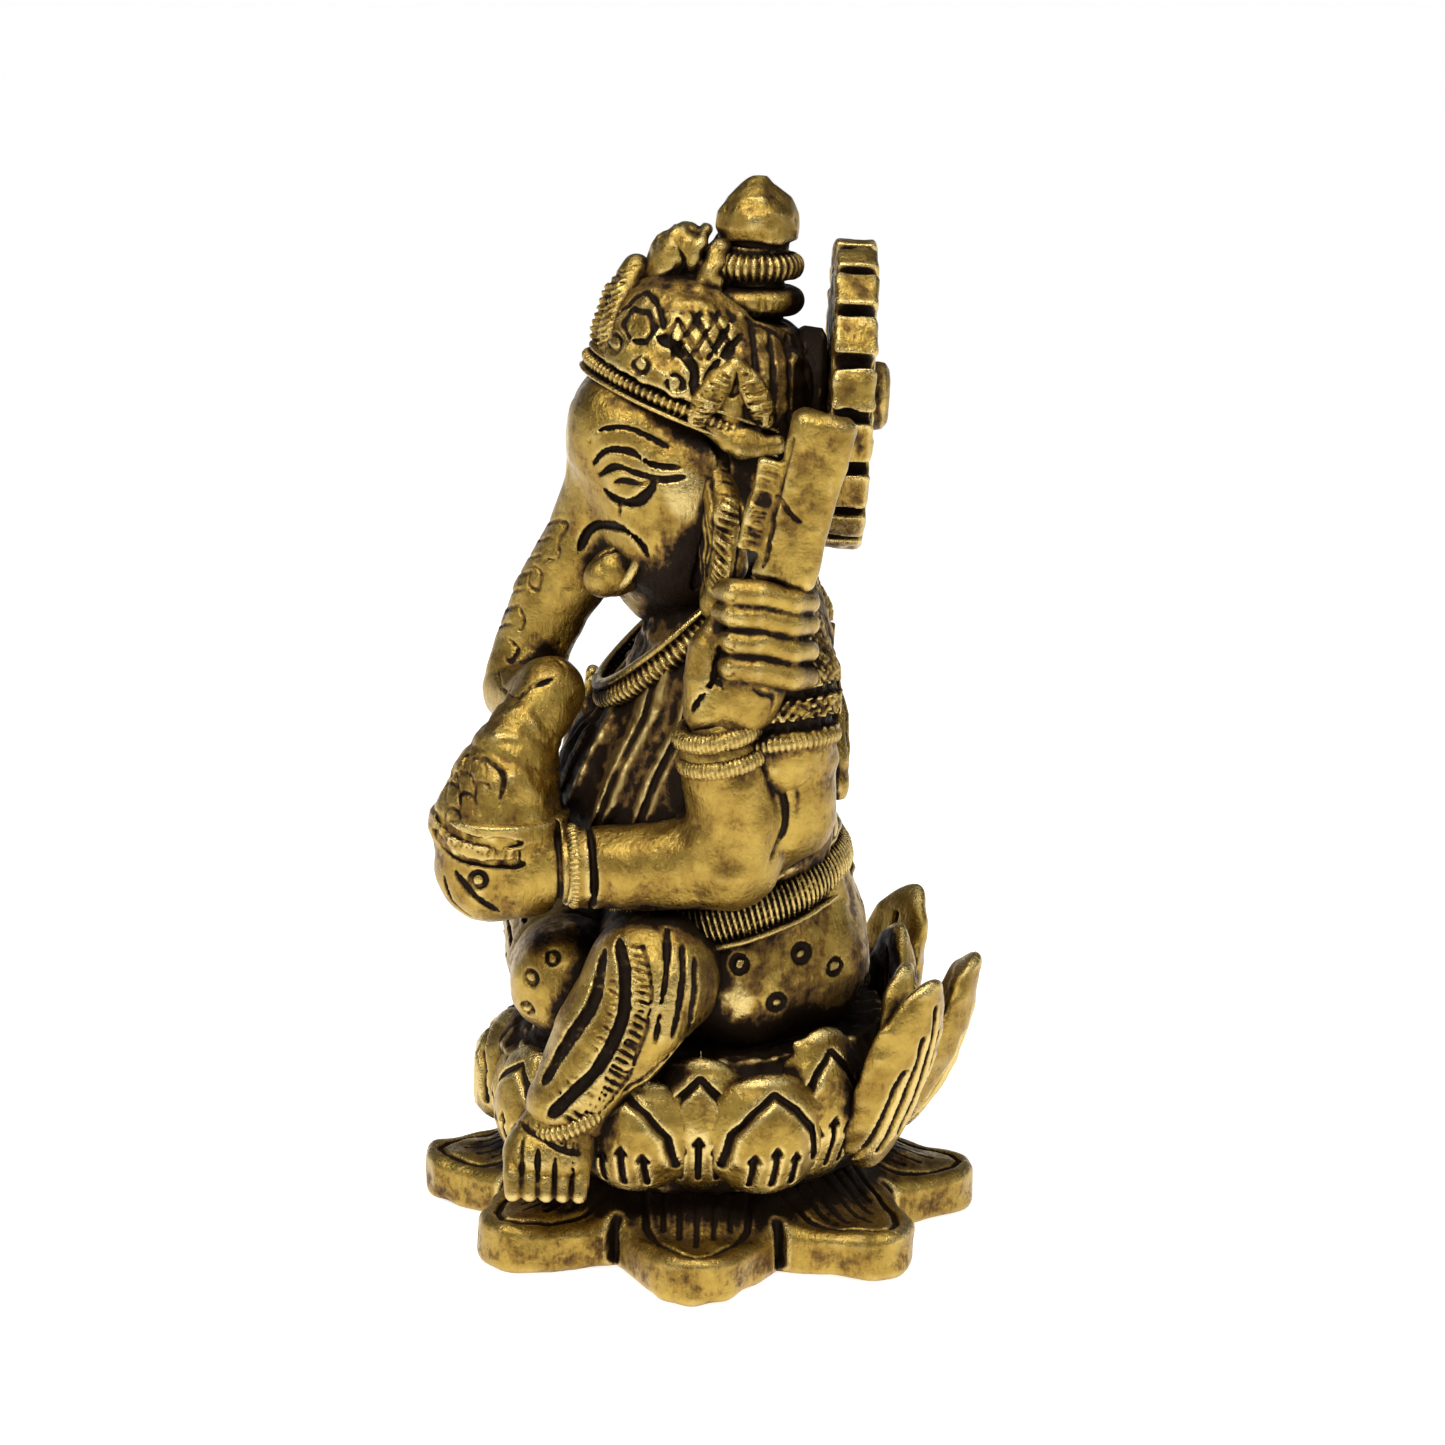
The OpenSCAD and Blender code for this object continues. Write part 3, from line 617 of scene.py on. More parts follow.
def petal(angle, root, lean, tip, wide, thick, tall):
    """A petal of the lotus: root is its radius at the foot and lean is how far its tip leans out.

    A petal is veined as a long leaf where tall is over a half, and otherwise has a pointed arch cut in it.
    """
    ca, sa = cos(angle), sin(angle)
    span = tip - PETAL_FOOT
    fat = 2.4 - 0.5 * tall

    def distance(x, y, z):
        out, side = x * ca + y * sa, np.abs(y * ca - x * sa)
        v = np.clip((z - PETAL_FOOT) / span, 0, 1)
        width = wide * np.maximum(1 - np.abs(2 * v ** 0.9 - 1) ** fat, 0) ** 0.55 + 0.02
        body = thick * np.maximum(1 - np.abs(2 * v - 1) ** 4, 0) ** 0.5 + 0.02
        centre = root + 1.3 * np.sin(pi * np.minimum(v * 1.1, 1)) + lean * v ** 1.4 - side ** 2 / 13
        k = np.sqrt(((out - centre) / body) ** 2 + (side / width) ** 2)
        d = (k - 1) * thick * 0.8
        outer = np.clip((out - centre) * 2, 0, 1)
        inner = 1 - outer
        if tall > 0.5:
            for at, low, high in ((0.0, 0.22, 0.86), (0.3, 0.14, 0.72), (0.58, 0.1, 0.56)):
                ends = [(at * wide, PETAL_FOOT + low * span), (at * wide * 0.8, PETAL_FOOT + high * span)]
                line = near(ends, side, z)
                d = d + outer * scored(line, 0.75, 0.5) + inner * scored(line, 0.6, 0.3)
        else:
            h = PETAL_FOOT + span * np.array([0.86, 0.74, 0.55, 0.3])
            arch = [(0.1, h[0]), (0.34 * wide, h[1]), (0.66 * wide, h[2]), (0.76 * wide, h[3])]
            d = d + outer * scored(near(arch, side, z), 0.7, 0.5)
            for at, high in ((0.0, 0.42), (0.34 * wide, 0.36)):
                top = PETAL_FOOT + high * span
                shaft = near([(at, PETAL_FOOT + 0.14 * span), (at, top)], side, z)
                point = near([(at - 0.4, top - 0.1), (at, top + 0.5), (at + 0.4, top - 0.1)], side, z)
                d = d + outer * (scored(shaft, 0.6, 0.5) + scored(point, 0.4, 0.3))
        return d

    pts = np.array([[r * ca - s * sa, r * sa + s * ca] for r in (root - 4, root + lean + thick + 0.8)
                    for s in (-wide, wide)])
    return (np.array([*pts.min(0), PETAL_FOOT]), np.array([*pts.max(0), tip]), distance)


outer_clay, inner_clay = Clay("outer_petals", margin=2.0), Clay("inner_petals", margin=2.0)
for i in range(PETALS):
    a = TAU / PETALS * (i + 0.5)
    tall = min(max((sin(a) - 0.28) / 0.45, 0), 1)
    front = max(0.0, -sin(a)) ** 2
    outer_clay.join(petal(a, bowl_r - 0.3, 0.4 + 5.4 * tall - 1.6 * front,
                          17.6 + 8.2 * tall - 2.4 * max(0, sin(a)) ** 8 - 0.5 * front, 5.3 - 0.5 * tall,
                          1.65 - 0.15 * tall, tall), 0.05)
    a = TAU / PETALS * i
    back, front = max(0.0, sin(a)) ** 2, max(0.0, -sin(a)) ** 2
    inner_clay.join(petal(a, bowl_r - 1.7, 0.3 + 1.6 * back - 1.2 * front,
                          19.1 + 5.6 * back - 2.2 * front, 4.6, 1.3, back), 0.05)
outer_clay.hammer(0.06, 1.3, 4).hammer(0.07, 3.0, 42)
inner_clay.hammer(0.07, 1.2, 5)
# Painted shade: the petals darken towards their feet, low by the plate.
cast(outer_clay, stain_and_shade=lambda x, y, z: 0.6 * ramp(-z, -10.0, -7.6))
cast(inner_clay, stain_and_shade=0.3)

# ---------------------------------------------------------------- hips, legs and feet
clay = Clay("hips")
clay.join(wide_limb([(8.1, 3.1, 23.7, 6), (4.7, 6.9, 24.4, 6.9), (6.6, -3.5, 23.9, 5.7),
                     (6.1, 3.6, 28.4, 6.1), (3, 6.2, 29.3, 6.1)],
                    [(0, 1), (0, 2), (0, 3), (1, 4), (3, 4), (2, 3)]), 0)
for spot in [(3.0, 26.3), (8.2, 26.6), (11.0, 25.2), (6.2, 22.9)]:
    clay.punch(spot, 0.62, LEFT, 0.5, 0.34, both=True)
for spot in [(-3.5, 25.5), (3.5, 25.5), (0, 22.2), (-6.6, 22.4), (6.6, 22.4)]:
    clay.punch(spot, 0.62, BACK, 0.5, 0.34)
for side in (-1, 1):
    for shift in (-0.9, 0.9):
        clay.groove([(side * (shift + 1.2), 28.6), (side * (shift + 1.8), 24.5),
                     (side * (shift + 1.2), 20.5)], 0.4, 0.28, BACK)
clay.hammer(0.07, 1.1, 6).hammer(0.06, 2.4, 45)
# Darker towards the bottom of the hips.
cast(clay, "hips_cloth", stain_and_shade=lambda x, y, z: 0.2 + 0.85 * ramp(-z, -27.0, -21.5))

thigh = [(8.4, -1.9, 24.2, 5.0), (14.2, -4.1, 25.3, 5.4)]
shin = [(14.2, -4.3, 24.9, 5.3), (15.8, -7.6, 20.3, 4.7), (17.2, -10.7, 15, 3.6)]
panel = [(15.2, -2.4, 29.0, 1.7), (17.6, -2.3, 25.6, 2.2), (18.2, -3.6, 22, 2.3), (18.0, -5.4, 19.5, 2.2)]
border_inner = [(18, -6.2, 28.9), (19, -5.6, 26.7), (19, -5.6, 23.8), (20, -6.8, 20.9), (20, -8.3, 18.3),
                (20, -11.0, 15.2)]
border_outer = [(18, -4.9, 28.9), (19, -4.2, 26.7), (19, -4.2, 23.8), (20, -5.2, 20.4), (20, -6.4, 17.4),
                (20, -9.4, 13.9)]
clay = Clay("left_leg", "dhoti_panel")
clay.join(limb(thigh), 0).join(limb(shin), 1.0).join(limb(panel), 0.9)
clay.groove([(17, -8.1, 28.0), (18, -8.4, 26.2), (18.7, -9.0, 24.0), (18.7, -10.7, 21.2),
             (17, -12.8, 17.4)], 1.3, 0.9)
clay.groove([(17, -6.9, 29.1), (18.8, -6.3, 26.6), (19.9, -6.4, 23.4), (20.3, -8.0, 19.8),
             (20.3, -10, 17.3), (20.4, -12.2, 15.0)], 1.05, 0.75)
clay.ticks([(18, -7.9, 27.2), (19, -7.6, 24), (20, -9.2, 20.5), (20, -11.6, 17.2)],
           [(18, -7.0, 27.2), (19, -6.9, 24), (20, -8.5, 19.9), (20, -10.9, 16.4)], 13, 0.3, 0.25)
clay.ticks(border_inner, border_outer, 26, 0.34, 0.3)
clay.groove(border_outer, 0.3, 0.22)
clay.groove([(17.9, -3.0, 30), (19.4, -3.0, 26.9), (20.9, -3.7, 21.6)], 0.5, 0.42)
clay.groove([(18.1, -1.7, 29), (20.2, -1.7, 26.2), (20.6, -2.4, 21.9)], 0.5, 0.42)
clay.groove([(-0.7, 28.0), (-0.6, 25.3), (-1.0, 21.6)], 0.6, 0.4)
clay.groove([(-1.2, 21.3), (-3.6, 19.0), (-6.2, 16.9)], 0.8, 0.5)
for k in range(5):
    y = -6.0 - 2.1 * k
    clay.groove([(6 + 1.7 * k, y, 27.5 - 1.6 * k), (10 + 1.6 * k, y, 28.2 - 1.9 * k)], 0.45, 0.35, TOP)
clay.hammer(0.06, 1.6, 7)
# Painted shade: the leg darkens towards the back, away from the light.
cast(clay, "left_leg_cloth", stain_and_shade=lambda x, y, z: 0.1 + 0.5 * ramp(y, -3.0, 0.5))

clay = Clay("right_leg")
clay.join(limb([(-8.1, 2.6, 23.1, 5.7), (-14.8, -5, 21.9, 5.5)]), 0)
clay.join(limb([(-14.8, -5.6, 22.4, 5.2), (-6, -13, 23.3, 5), (2.4, -12.2, 22.6, 4.8)]), 1.2)
for k in range(4):
    lift = 1.9 * k
    clay.groove([(-17.5, -9, 25.2 - lift), (-11, -14, 26.0 - lift), (-4, -17, 26.6 - lift),
                 (3, -16, 26.0 - lift)], 0.55, 0.42, FRONT)
    clay.groove([(-19, -7.8, 25.5 - lift), (-20, -4, 25.0 - lift), (-17, 0, 25.2 - lift)], 0.5, 0.4,
                RIGHT)
clay.ticks([(-16, -12, 18.6), (-8, -17, 19.4), (1, -17, 19.6)], [(-16, -12, 17.6), (-8, -17, 18.2),
                                                                 (1, -17, 18.4)], 26, 0.34, 0.26, FRONT)
clay.hammer(0.07, 1.3, 8)
cast(clay, "right_leg_cloth", stain_and_shade=0.25)

clay = Clay("right_foot")
clay.join(limb([(4.9, -11.8, 22.6, 4.8), (7.9, -11.7, 22.6, 4.7)]), 0)
for y, z, r in [(-14.4, 23.9, 0.55), (-14.7, 21.0, 0.5), (-12.6, 25.6, 0.5), (-11.5, 20.6, 0.5)]:
    clay.punch((y, z), r, LEFT, 0.42, 0.3)
clay.hammer(0.08, 1.4, 9)
cast(clay, stain_and_shade=0.1)

clay = Clay("left_foot")
clay.join(limb([(17.4, -11.4, 12.8, 3.4), (18.4, -13.4, 11.0, 2.7)]), 0)
clay.join(slab((19.0, -12.2, 11.0), (2.4, 3.4, 2.2), (0, 38, -6), 2.0), 1.2)
for k in range(5):
    y = -15.1 + 1.35 * k
    clay.join(limb([(19.4, y, 11.6, 0.95), (21.0, y, 9.9 - 0.12 * k, 0.85), (21.5, y, 8.6, 0.7)]), 0.14)
clay.groove([(19.2, -15.4, 14.0), (20.5, -12.9, 13.2), (20.7, -11.6, 12.5), (21.0, -9.6, 11.9)], 0.5,
            0.35)
clay.ticks([(19, -14.8, 14.6), (20.5, -12.8, 13.9), (21, -9.9, 12.7)],
           [(19, -15.0, 13.7), (20.5, -12.9, 13.0), (21, -9.9, 11.9)], 12, 0.28, 0.25)
for y, high, low in [(-14.4, 13.0, 10.2), (-13.1, 12.4, 9.6), (-11.7, 11.8, 9.2), (-10.3, 11.4, 9.0)]:
    clay.groove([(21, y, high), (22, y, low)], 0.36, 0.4)
clay.hammer(0.05, 1.2, 10)
cast(clay)

clay = Clay("left_anklet")
clay.join(hoop((17.3, -10.9, 14.3), (3.35, 3.35), (0.7, 0.8), (22, 10, 0), 46, 0.22), 0)
cast(clay)

clay = Clay("waist_belt", margin=2.2)
for lift, out, across, tall, ribs in ((-0.6, 0.25, 1.0, 1.75, 128), (1.45, 0.1, 0.7, 0.42, 0),
                                      (-2.65, 0.1, 0.8, 0.4, 0)):
    clay.join(hoop((0, 1.8 - lift * 0.28, 30.6 + lift), (13.0 + out, 9.8 + out), (across, tall),
                   (16, 0, 0), ribs, 0.42), 0.05)
clay.join(egg((0, -7.5, 29.4), (2.2, 1.2, 1.9), (12, 0, 0)), 0.3)
clay.hammer(0.04, 1.2, 11)
cast(clay)

# ---------------------------------------------------------------- torso and dress
clay = Clay("torso")
clay.join(wide_limb([(3, -3, 37.4, 9.9), (4.1, 2.3, 35.5, 8.3), (3.5, 1.4, 46.4, 8.2),
                     (6.5, 4.2, 50.4, 5.7), (2.4, 0, 51.8, 5.2)],
                    [(0, 1), (0, 2), (1, 2), (2, 3), (2, 4), (3, 4)]), 0)
for start, width, depth in ((-7.6, 0.7, 0.3), (-5.8, 2.0, 0.45), (-4.2, 0.6, 0.3), (-2.4, 1.8, 0.45),
                            (-0.8, 0.7, 0.3)):
    fold = [(start, 51), (start - 1.1, 46.2), (start - 3.4, 41.6), (start - 5.0, 37.2), (start - 5.6, 33)]
    for towards in (LEFT, RIGHT):
        clay.score(fold, width, depth, towards)
for x, width, depth in ((0.8, 1.6, 0.4), (2.9, 0.7, 0.3), (4.9, 1.6, 0.4)):
    for side in (-x, x):
        clay.score([(side * 0.7, 48), (side, 43), (side * 1.2, 38), (side * 1.3, 32)], width, depth,
                   FRONT)
        clay.score([(side * 0.6, 52), (side, 45), (side * 1.15, 37), (side * 1.2, 33)], width, depth,
                   BACK)
clay.hammer(0.1, 0.9, 12).hammer(0.12, 2.6, 13)
cast(clay, stain_and_shade=0.6)

clay = Clay("necklace")
clay.join(hoop((0, -2.2, 52), (9.3, 9.3), (1.0, 0.95), (42, 0, 0), 92, 0.3), 0)
clay.join(hoop((0, -2.9, 53.1), (9.1, 9.1), (0.6, 0.35), (42, 0, 0)), 0.05)
clay.join(egg((0, -9.8, 43.8), (1.7, 1.2, 2.0), (42, 0, 0)), 0.3)
cast(clay, stain_and_shade=0.1)

clay = Clay("back_sash")
clay.join(limb([(-8.2, 9.0, 48.4, 1.3), (-7, 9.6, 46.6, 1.5), (-3, 10.6, 43.4, 1.5), (0, 10.6, 40.4, 1.5),
                (0.6, 10.7, 37.4, 1.2)]), 0)
clay.join(egg((0.4, 10.9, 38.4), (1.7, 1.3, 1.5)), 0.3)
for shift in (-0.55, 0.55):
    clay.groove([(-7.4 + shift, 47.2 + shift), (-3 + shift, 43.4 + shift), (0 + shift, 40.2)], 0.4, 0.3,
                BACK)
clay.hammer(0.07, 1.0, 14)
cast(clay, stain_and_shade=0.3)

# ---------------------------------------------------------------- arms, left then right
sleeve_line = [(10.7, 5, 53.2, 4.5), (12.2, 5.6, 49.6, 5.3), (12.8, 5.5, 45, 5)]
elbow_line = [(12.6, 6.3, 43.6, 4.3), (12.3, 6.3, 39.3, 4.3), (11.0, 5.0, 37.5, 4.0)]
rear_line = [(14.5, 2.2, 36.0, 4.1), (15.2, 2.4, 39.4, 3.9), (15.8, 1.6, 42.6, 3.6), (16, 1.1, 44.7, 3.4),
             (16.1, 1.2, 46.5, 2.9)]
front_lines = {
    "left": [(14.3, 1.4, 35.5, 4.0), (13.8, -3.4, 34.6, 3.7), (12.8, -8.9, 34.1, 3.4),
             (12.2, -11.5, 33.9, 3.2)],
    "right": [(14.3, 1.4, 35.3, 4.0), (14.2, -3, 35.1, 3.6), (13.4, -6.6, 36.6, 3.2), (13, -8, 38.2, 2.9)],
}
for name, flip in SIDES:
    clay = Clay(name + "_sleeve", flip=flip)
    clay.join(limb(sleeve_line), 0)
    for tall, at in ((52.3, (11.4, 5.3)), (49.1, (12.3, 5.6)), (46.5, (12.6, 5.5))):
        clay.cut(hoop((*at, tall), (5.3, 5.3), (0.75, 0.42), (8, -10, 0)), 0.1)
    clay.join(hoop((12.7, 5.4, 45.2), (4.95, 4.95), (0.62, 0.75), (8, -10, 0), 66, 0.2), 0.05)
    clay.hatched((0.5, 46.8), (11.0, 57.0), LEFT, 0.85, 1.3, 0.3, 0.15)
    clay.hatched((6.0, 46.8), (17.5, 56.0), BACK, 0.85, 1.3, 0.3, 0.15)
    clay.hammer(0.06, 1.1, 15)
    cast(clay, stain_and_shade=0.2)

    clay = Clay(name + "_elbow", name + "_rear_forearm", name + "_front_forearm", flip=flip)
    clay.join(limb(elbow_line), 0)
    clay.join(joined([limb(rear_line), limb(front_lines[name])], 1.8), 0.6)
    clay.groove([(4.3, 44.2), (5.6, 42.6), (6.3, 41.0), (6.3, 38.7), (5.2, 36.0)], 0.5, 0.25)
    clay.groove([(6.7, 43.6), (7.4, 41.6), (7.3, 40.0)], 0.4, 0.15)
    if not flip:
        clay.cut(hoop((12.6, -9.65, 34.05), (3.45, 3.45), (0.5, 0.3), (92, 0, 10)), 0.08)
        clay.cut(slab((12.0, -14.3, 34.0), (6.0, 2.6, 6.0), (0, 0, 10)), 0.05)
    clay.hammer(0.08, 1.5, 16).hammer(0.06, 3.2, 17)
    cast(clay, name + "_arm")

    clay = Clay(name + "_rear_bangles", flip=flip)
    for z in (-1.12, 1.12):
        clay.join(hoop((16.1 + 0.1 * z, 1 - 0.2 * z, 45.7 + z), (3.1, 3.1), (0.85, 0.9), (12, 6, 0), 60,
                       0.2), 0.05)
    cast(clay)

    clay = Clay(name + "_rear_fist", flip=flip)
    clay.join(limb([(16.1, 1.2, 46.6, 2.5), (16.2, 2.5, 49.5, 3.3), (16.2, 3.7, 52.5, 3.3),
                    (16.2, 4.2, 55.8, 2.7)]), 0)
    for k, z in enumerate((52.2, 54.35, 56.5, 58.3)):
        thick = 1.13 if k else 1.2
        clay.join(limb([(16.8, 0.9, z + 0.2, 0.95), (18.6, 1.9, z + 0.35, thick),
                        (19.1, 4.0, z + 0.35, thick), (18.5, 6.4, z - 0.3, thick),
                        (16.5, 7.8, z - 0.7, 0.95)]), 0.1)
        clay.groove([(19, 1.15 + 0.1 * k, z + 0.95), (19.4, 1.75, z + 0.9), (19.5, 2.0, z + 0.35),
                     (19.4, 1.75, z - 0.2), (19, 1.1, z - 0.1)], 0.2, 0.14)
    clay.join(limb([(16.6, 0.2, 48.8, 2.4), (16.9, -0.4, 51.2, 1.75), (16.8, -0.3, 53.6, 1.5),
                    (16.4, 0.6, 55.4, 1.2)]), 0.3)
    clay.groove([(18, 0.75, 54.2), (18, 0.45, 52.6), (18, 0.1, 51.2), (17, -1.3, 48.9)], 0.6, 0.5)
    clay.groove([(18, 0.2, 51.4), (19, 0.9, 51.2), (19.4, 1.2, 50.4)], 0.36, 0.25)
    clay.groove([(3.4, 51.2), (4.2, 50.6), (5.1, 50.3), (5.0, 49.2)], 0.36, 0.22)
    clay.hammer(0.05, 1.2, 18)
    cast(clay)

# The axe and the goad are held alike, one on each side.
AXE_MIDDLE = np.array([17.2, 6.8, 65.4])
AXE_TILT = (-13, 0, 0)


def on_axe(x, y, z):
    """A point of the axe or the goad, given in its own axes."""
    return tuple(AXE_MIDDLE + turned(AXE_TILT) @ np.array([x, y, z]))


def side_path(*points):
    """A line on the axe's cheek, through points of y, z in its own axes."""
    return [on_axe(0, y, z)[1:] for y, z in points]


clay = Clay("axe")
clay.join(slab(on_axe(0, 0.2, 0.6), (1.55, 2.55, 7.2), AXE_TILT, 1.1), 0)
clay.join(slab(on_axe(0, -2.9, -0.6), (1.0, 1.2, 3.8), AXE_TILT, 0.5), 0.4)
clay.cut(slab(on_axe(1.5, -2.0, 1.9), (0.4, 0.2, 3.6), AXE_TILT, 0.1), 0.1)
clay.groove(side_path((-2.0, 0.6), (-0.2, -0.7), (0.9, -1.0)), 0.4, 0.3)
clay.groove(side_path((-1.7, -1.4), (-1.6, -5.6)), 0.4, 0.3)
clay.ticks(side_path((-3.7, 2.6), (-3.7, -4.0)), side_path((-2.5, 2.6), (-2.5, -4.0)), 14, 0.25, 0.22)
clay.hammer(0.05, 0.7, 19).hammer(0.12, 2.2, 46)
cast(clay)

clay = Clay("goad", flip=True)
clay.join(lathe(on_axe(0, 0, 0), [(0, -6.9), (1.2, -6.7), (1.35, -2.5), (1.7, -2.1), (1.35, -1.6),
                                  (1.25, 3.2), (1.7, 3.6), (1.5, 4.4), (0.5, 6.4), (0, 6.5)], AXE_TILT),
          0)
clay.join(limb([(*on_axe(0, -0.6, 2.6), 1.1), (*on_axe(0, -3.0, 3.6), 0.95),
                (*on_axe(0, -4.1, 2.6), 0.75), (*on_axe(0, -4.3, 0.4), 0.45)]), 0.3)
clay.hammer(0.05, 1.4, 20)
cast(clay)

# left front hand, bracelet, bowl of sweets
clay = Clay("left_front_bracelet")
clay.join(hoop((12.4, -10.95, 34), (2.8, 2.8), (0.8, 0.75), (92, 0, 10), 48, 0.22), 0)
cast(clay)

clay = Clay("left_front_hand", "sweet_bowl", margin=2.0)
clay.join(limb([(12.3, -11.5, 33.9, 3.0), (11.9, -13.2, 33.9, 3.5), (11.2, -15.2, 33.5, 4.3),
                (10.6, -17.8, 33.4, 4.8)]), 0)
clay.join(lathe((10.5, -17.2, 36.2), [(0, -3.0), (3.6, -2.8), (5.2, -1.2), (5.95, 0.6), (5.8, 1.9),
                                      (5.0, 2.3), (0, 2.3)]), 0.8)
clay.groove([(12, -22.3, 38.3), (14, -20.6, 37.4), (16, -18.3, 36.9), (16, -15.0, 36.8)], 0.8, 0.6)
clay.groove([(12, -22.6, 36.9), (14, -20.9, 35.5), (15.4, -18.8, 35.0), (15.3, -14.9, 34.9)], 0.8, 0.6,
            LEFT)
clay.ticks([(13, -22.3, 37.6), (15, -20, 36.9), (16, -15.2, 36.2)],
           [(13, -22.4, 37.1), (15, -20.2, 35.9), (16, -15.2, 35.3)], 18, 0.26, 0.3)
clay.punch((-18.6, 33.4), 0.66, LEFT, 0.42, 0.34)
clay.groove([(14, -20.6, 34.0), (14.6, -19.1, 32.2), (12.6, -17.0, 30.4)], 0.5, 0.4)
for k in range(4):
    x = 7.2 + 2.1 * k
    clay.groove([(x, -20.5 - 0.5 * (k in (1, 2)), 33.2), (x - 0.2, -19.5, 30.6), (x - 0.3, -16.5, 29.8)],
                0.5, 0.4, FRONT)
clay.cut(hoop((12.1, -12.4, 33.95), (3.6, 3.6), (0.75, 0.34), (92, 0, 10)), 0.05)
clay.hammer(0.06, 1.4, 21)
cast(clay)

clay = Clay("sweets", margin=5.0)
clay.join(limb([(10.5, -17.2, 37.6, 5.5), (10.4, -16.8, 40.0, 4.7), (10.1, -16.1, 42.4, 3.8),
                (9.6, -15.3, 44.4, 3.1), (8.6, -14.1, 46.6, 2.5)]), 0)
clay.hammer(0.07, 0.8, 22).hammer(0.13, 2.4, 43)
for y, z in ((-20.9, 38.6), (-21.0, 40.2), (-19.6, 39.9), (-19.9, 41.4), (-18.4, 41.0), (-18.9, 42.6)):
    clay.groove([(y - 0.5, z - 0.7), (y - 0.4, z + 0.5), (y + 0.6, z + 0.4), (y + 0.8, z - 0.5)], 0.3,
                0.18)
    clay.groove([(y + 30, z - 0.4), (y + 30.7, z + 0.6), (y + 31.5, z - 0.3)], 0.36, 0.28, FRONT)
clay.groove([(-18.9, 43.4), (-17.6, 43.0), (-16.6, 42.0), (-16.9, 40.2)], 0.4, 0.28)
# Darker low on the front of the heap, by the bowl's rim.
cast(clay, stain_and_shade=lambda x, y, z: 0.35 * ramp(-z, -42.0, -39.0) * ramp(-y, 15.5, 18.5))

# right front hand, raised with an open palm
clay = Clay("right_front_bracelet")
clay.join(hoop(middle("right_front_bracelet"), (2.7, 2.7), (1.0, 0.9), (50, 0, -14), 40, 0.3), 0)
cast(clay)

clay = Clay("right_front_hand")
clay.join(limb([(-13, -7.9, 38.2, 2.6), (-12.8, -8.9, 39.4, 2.5)]), 0)
clay.join(slab((-12.6, -9.6, 41.2), (2.7, 1.4, 2.6), (12, 0, 0), 1.2), 0.8)
for k in range(4):
    x = -14.4 + 1.3 * k
    tip = 45.0 - 0.45 * abs(k - 1.6)
    clay.join(limb([(x, -9.9, 42.4, 0.85), (x, -10.5, tip - 1.2, 0.75), (x, -10.6, tip, 0.6)]), 0.12)
clay.join(limb([(-10.6, -9.8, 40.2, 1.1), (-9.9, -10.8, 41.6, 0.95), (-9.9, -11.2, 43.0, 0.75)]), 0.25)
clay.hammer(0.04, 1.2, 23)
cast(clay)

# ---------------------------------------------------------------- head
clay = Clay("head", "trunk", margin=2.0)
clay.join(wide_limb([(3, -2.3, 65, 7.3), (3.2, -6.3, 68.4, 5.7), (3.9, -2.7, 60.6, 5.7),
                     (1.4, -4, 56.6, 4.3), (3, 1, 66, 6.1)], [(0, 1), (0, 2), (2, 3), (0, 4), (1, 2),
                                                              (2, 4)]), 0)
clay.join(limb([(0, -8.2, 62.3, 4.3), (0, -10.9, 58.3, 3.8), (0, -13.7, 53.9, 3.4),
                (0.2, -15.2, 49.8, 3.2), (1.6, -16.3, 46.4, 3.1), (5.1, -14.8, 45.9, 3),
                (7.9, -13.3, 47.8, 2.9), (9.5, -15.2, 44.4, 2.9), (10.4, -16.8, 41.6, 2.7)]), 1.4)
clay.join(limb([(0, -7.2, 68.5, 4.6), (0, -8.3, 62.3, 4.5)]), 1.5)
clay.join(both_sides(egg((3.6, -9.0, 69.6), (3.2, 2.5, 3.0))), 2.0)
clay.join(both_sides(hoop((6.0, -6.9, 58.9), (2.75, 2.75), (0.55, 0.5), (60, 28, 0))), 0.2)
for line, width in (([(-10.3, 68.6), (-9.3, 69.8), (-7.2, 70.1), (-5.3, 69.4), (-3.8, 68.7)], 0.5),
                    ([(-9.9, 66.9), (-8.8, 68.2), (-6.8, 68.2), (-5.0, 67.3), (-2.8, 67.2)], 0.6),
                    ([(-9.4, 66.0), (-8.0, 66.9), (-6.2, 66.5), (-4.3, 66.2), (-2.3, 66.5)], 0.55),
                    ([(-8.9, 64.9), (-7.7, 65.8), (-6.0, 65.7), (-4.9, 66.0)], 0.4),
                    ([(-8.9, 64.8), (-8.0, 64.2), (-6.5, 64.1), (-5.4, 65.0), (-4.9, 65.9)], 0.75),
                    ([(-7.7, 64.0), (-7.7, 62.9)], 0.45)):
    clay.groove(line, width, width * 0.75, both=True)
clay.groove([(-11.2, 58.9), (-10.4, 60.6), (-8.9, 61.6), (-7.2, 61.7), (-5.9, 60.8), (-5.3, 59.8)], 0.7,
            0.55, both=True)
clay.groove([(-1.0, 70.2), (0.6, 67.9), (0.4, 65), (-0.2, 62.2), (-0.8, 59.4), (-1.5, 57)], 1.1, 0.8,
            LEFT, both=True)
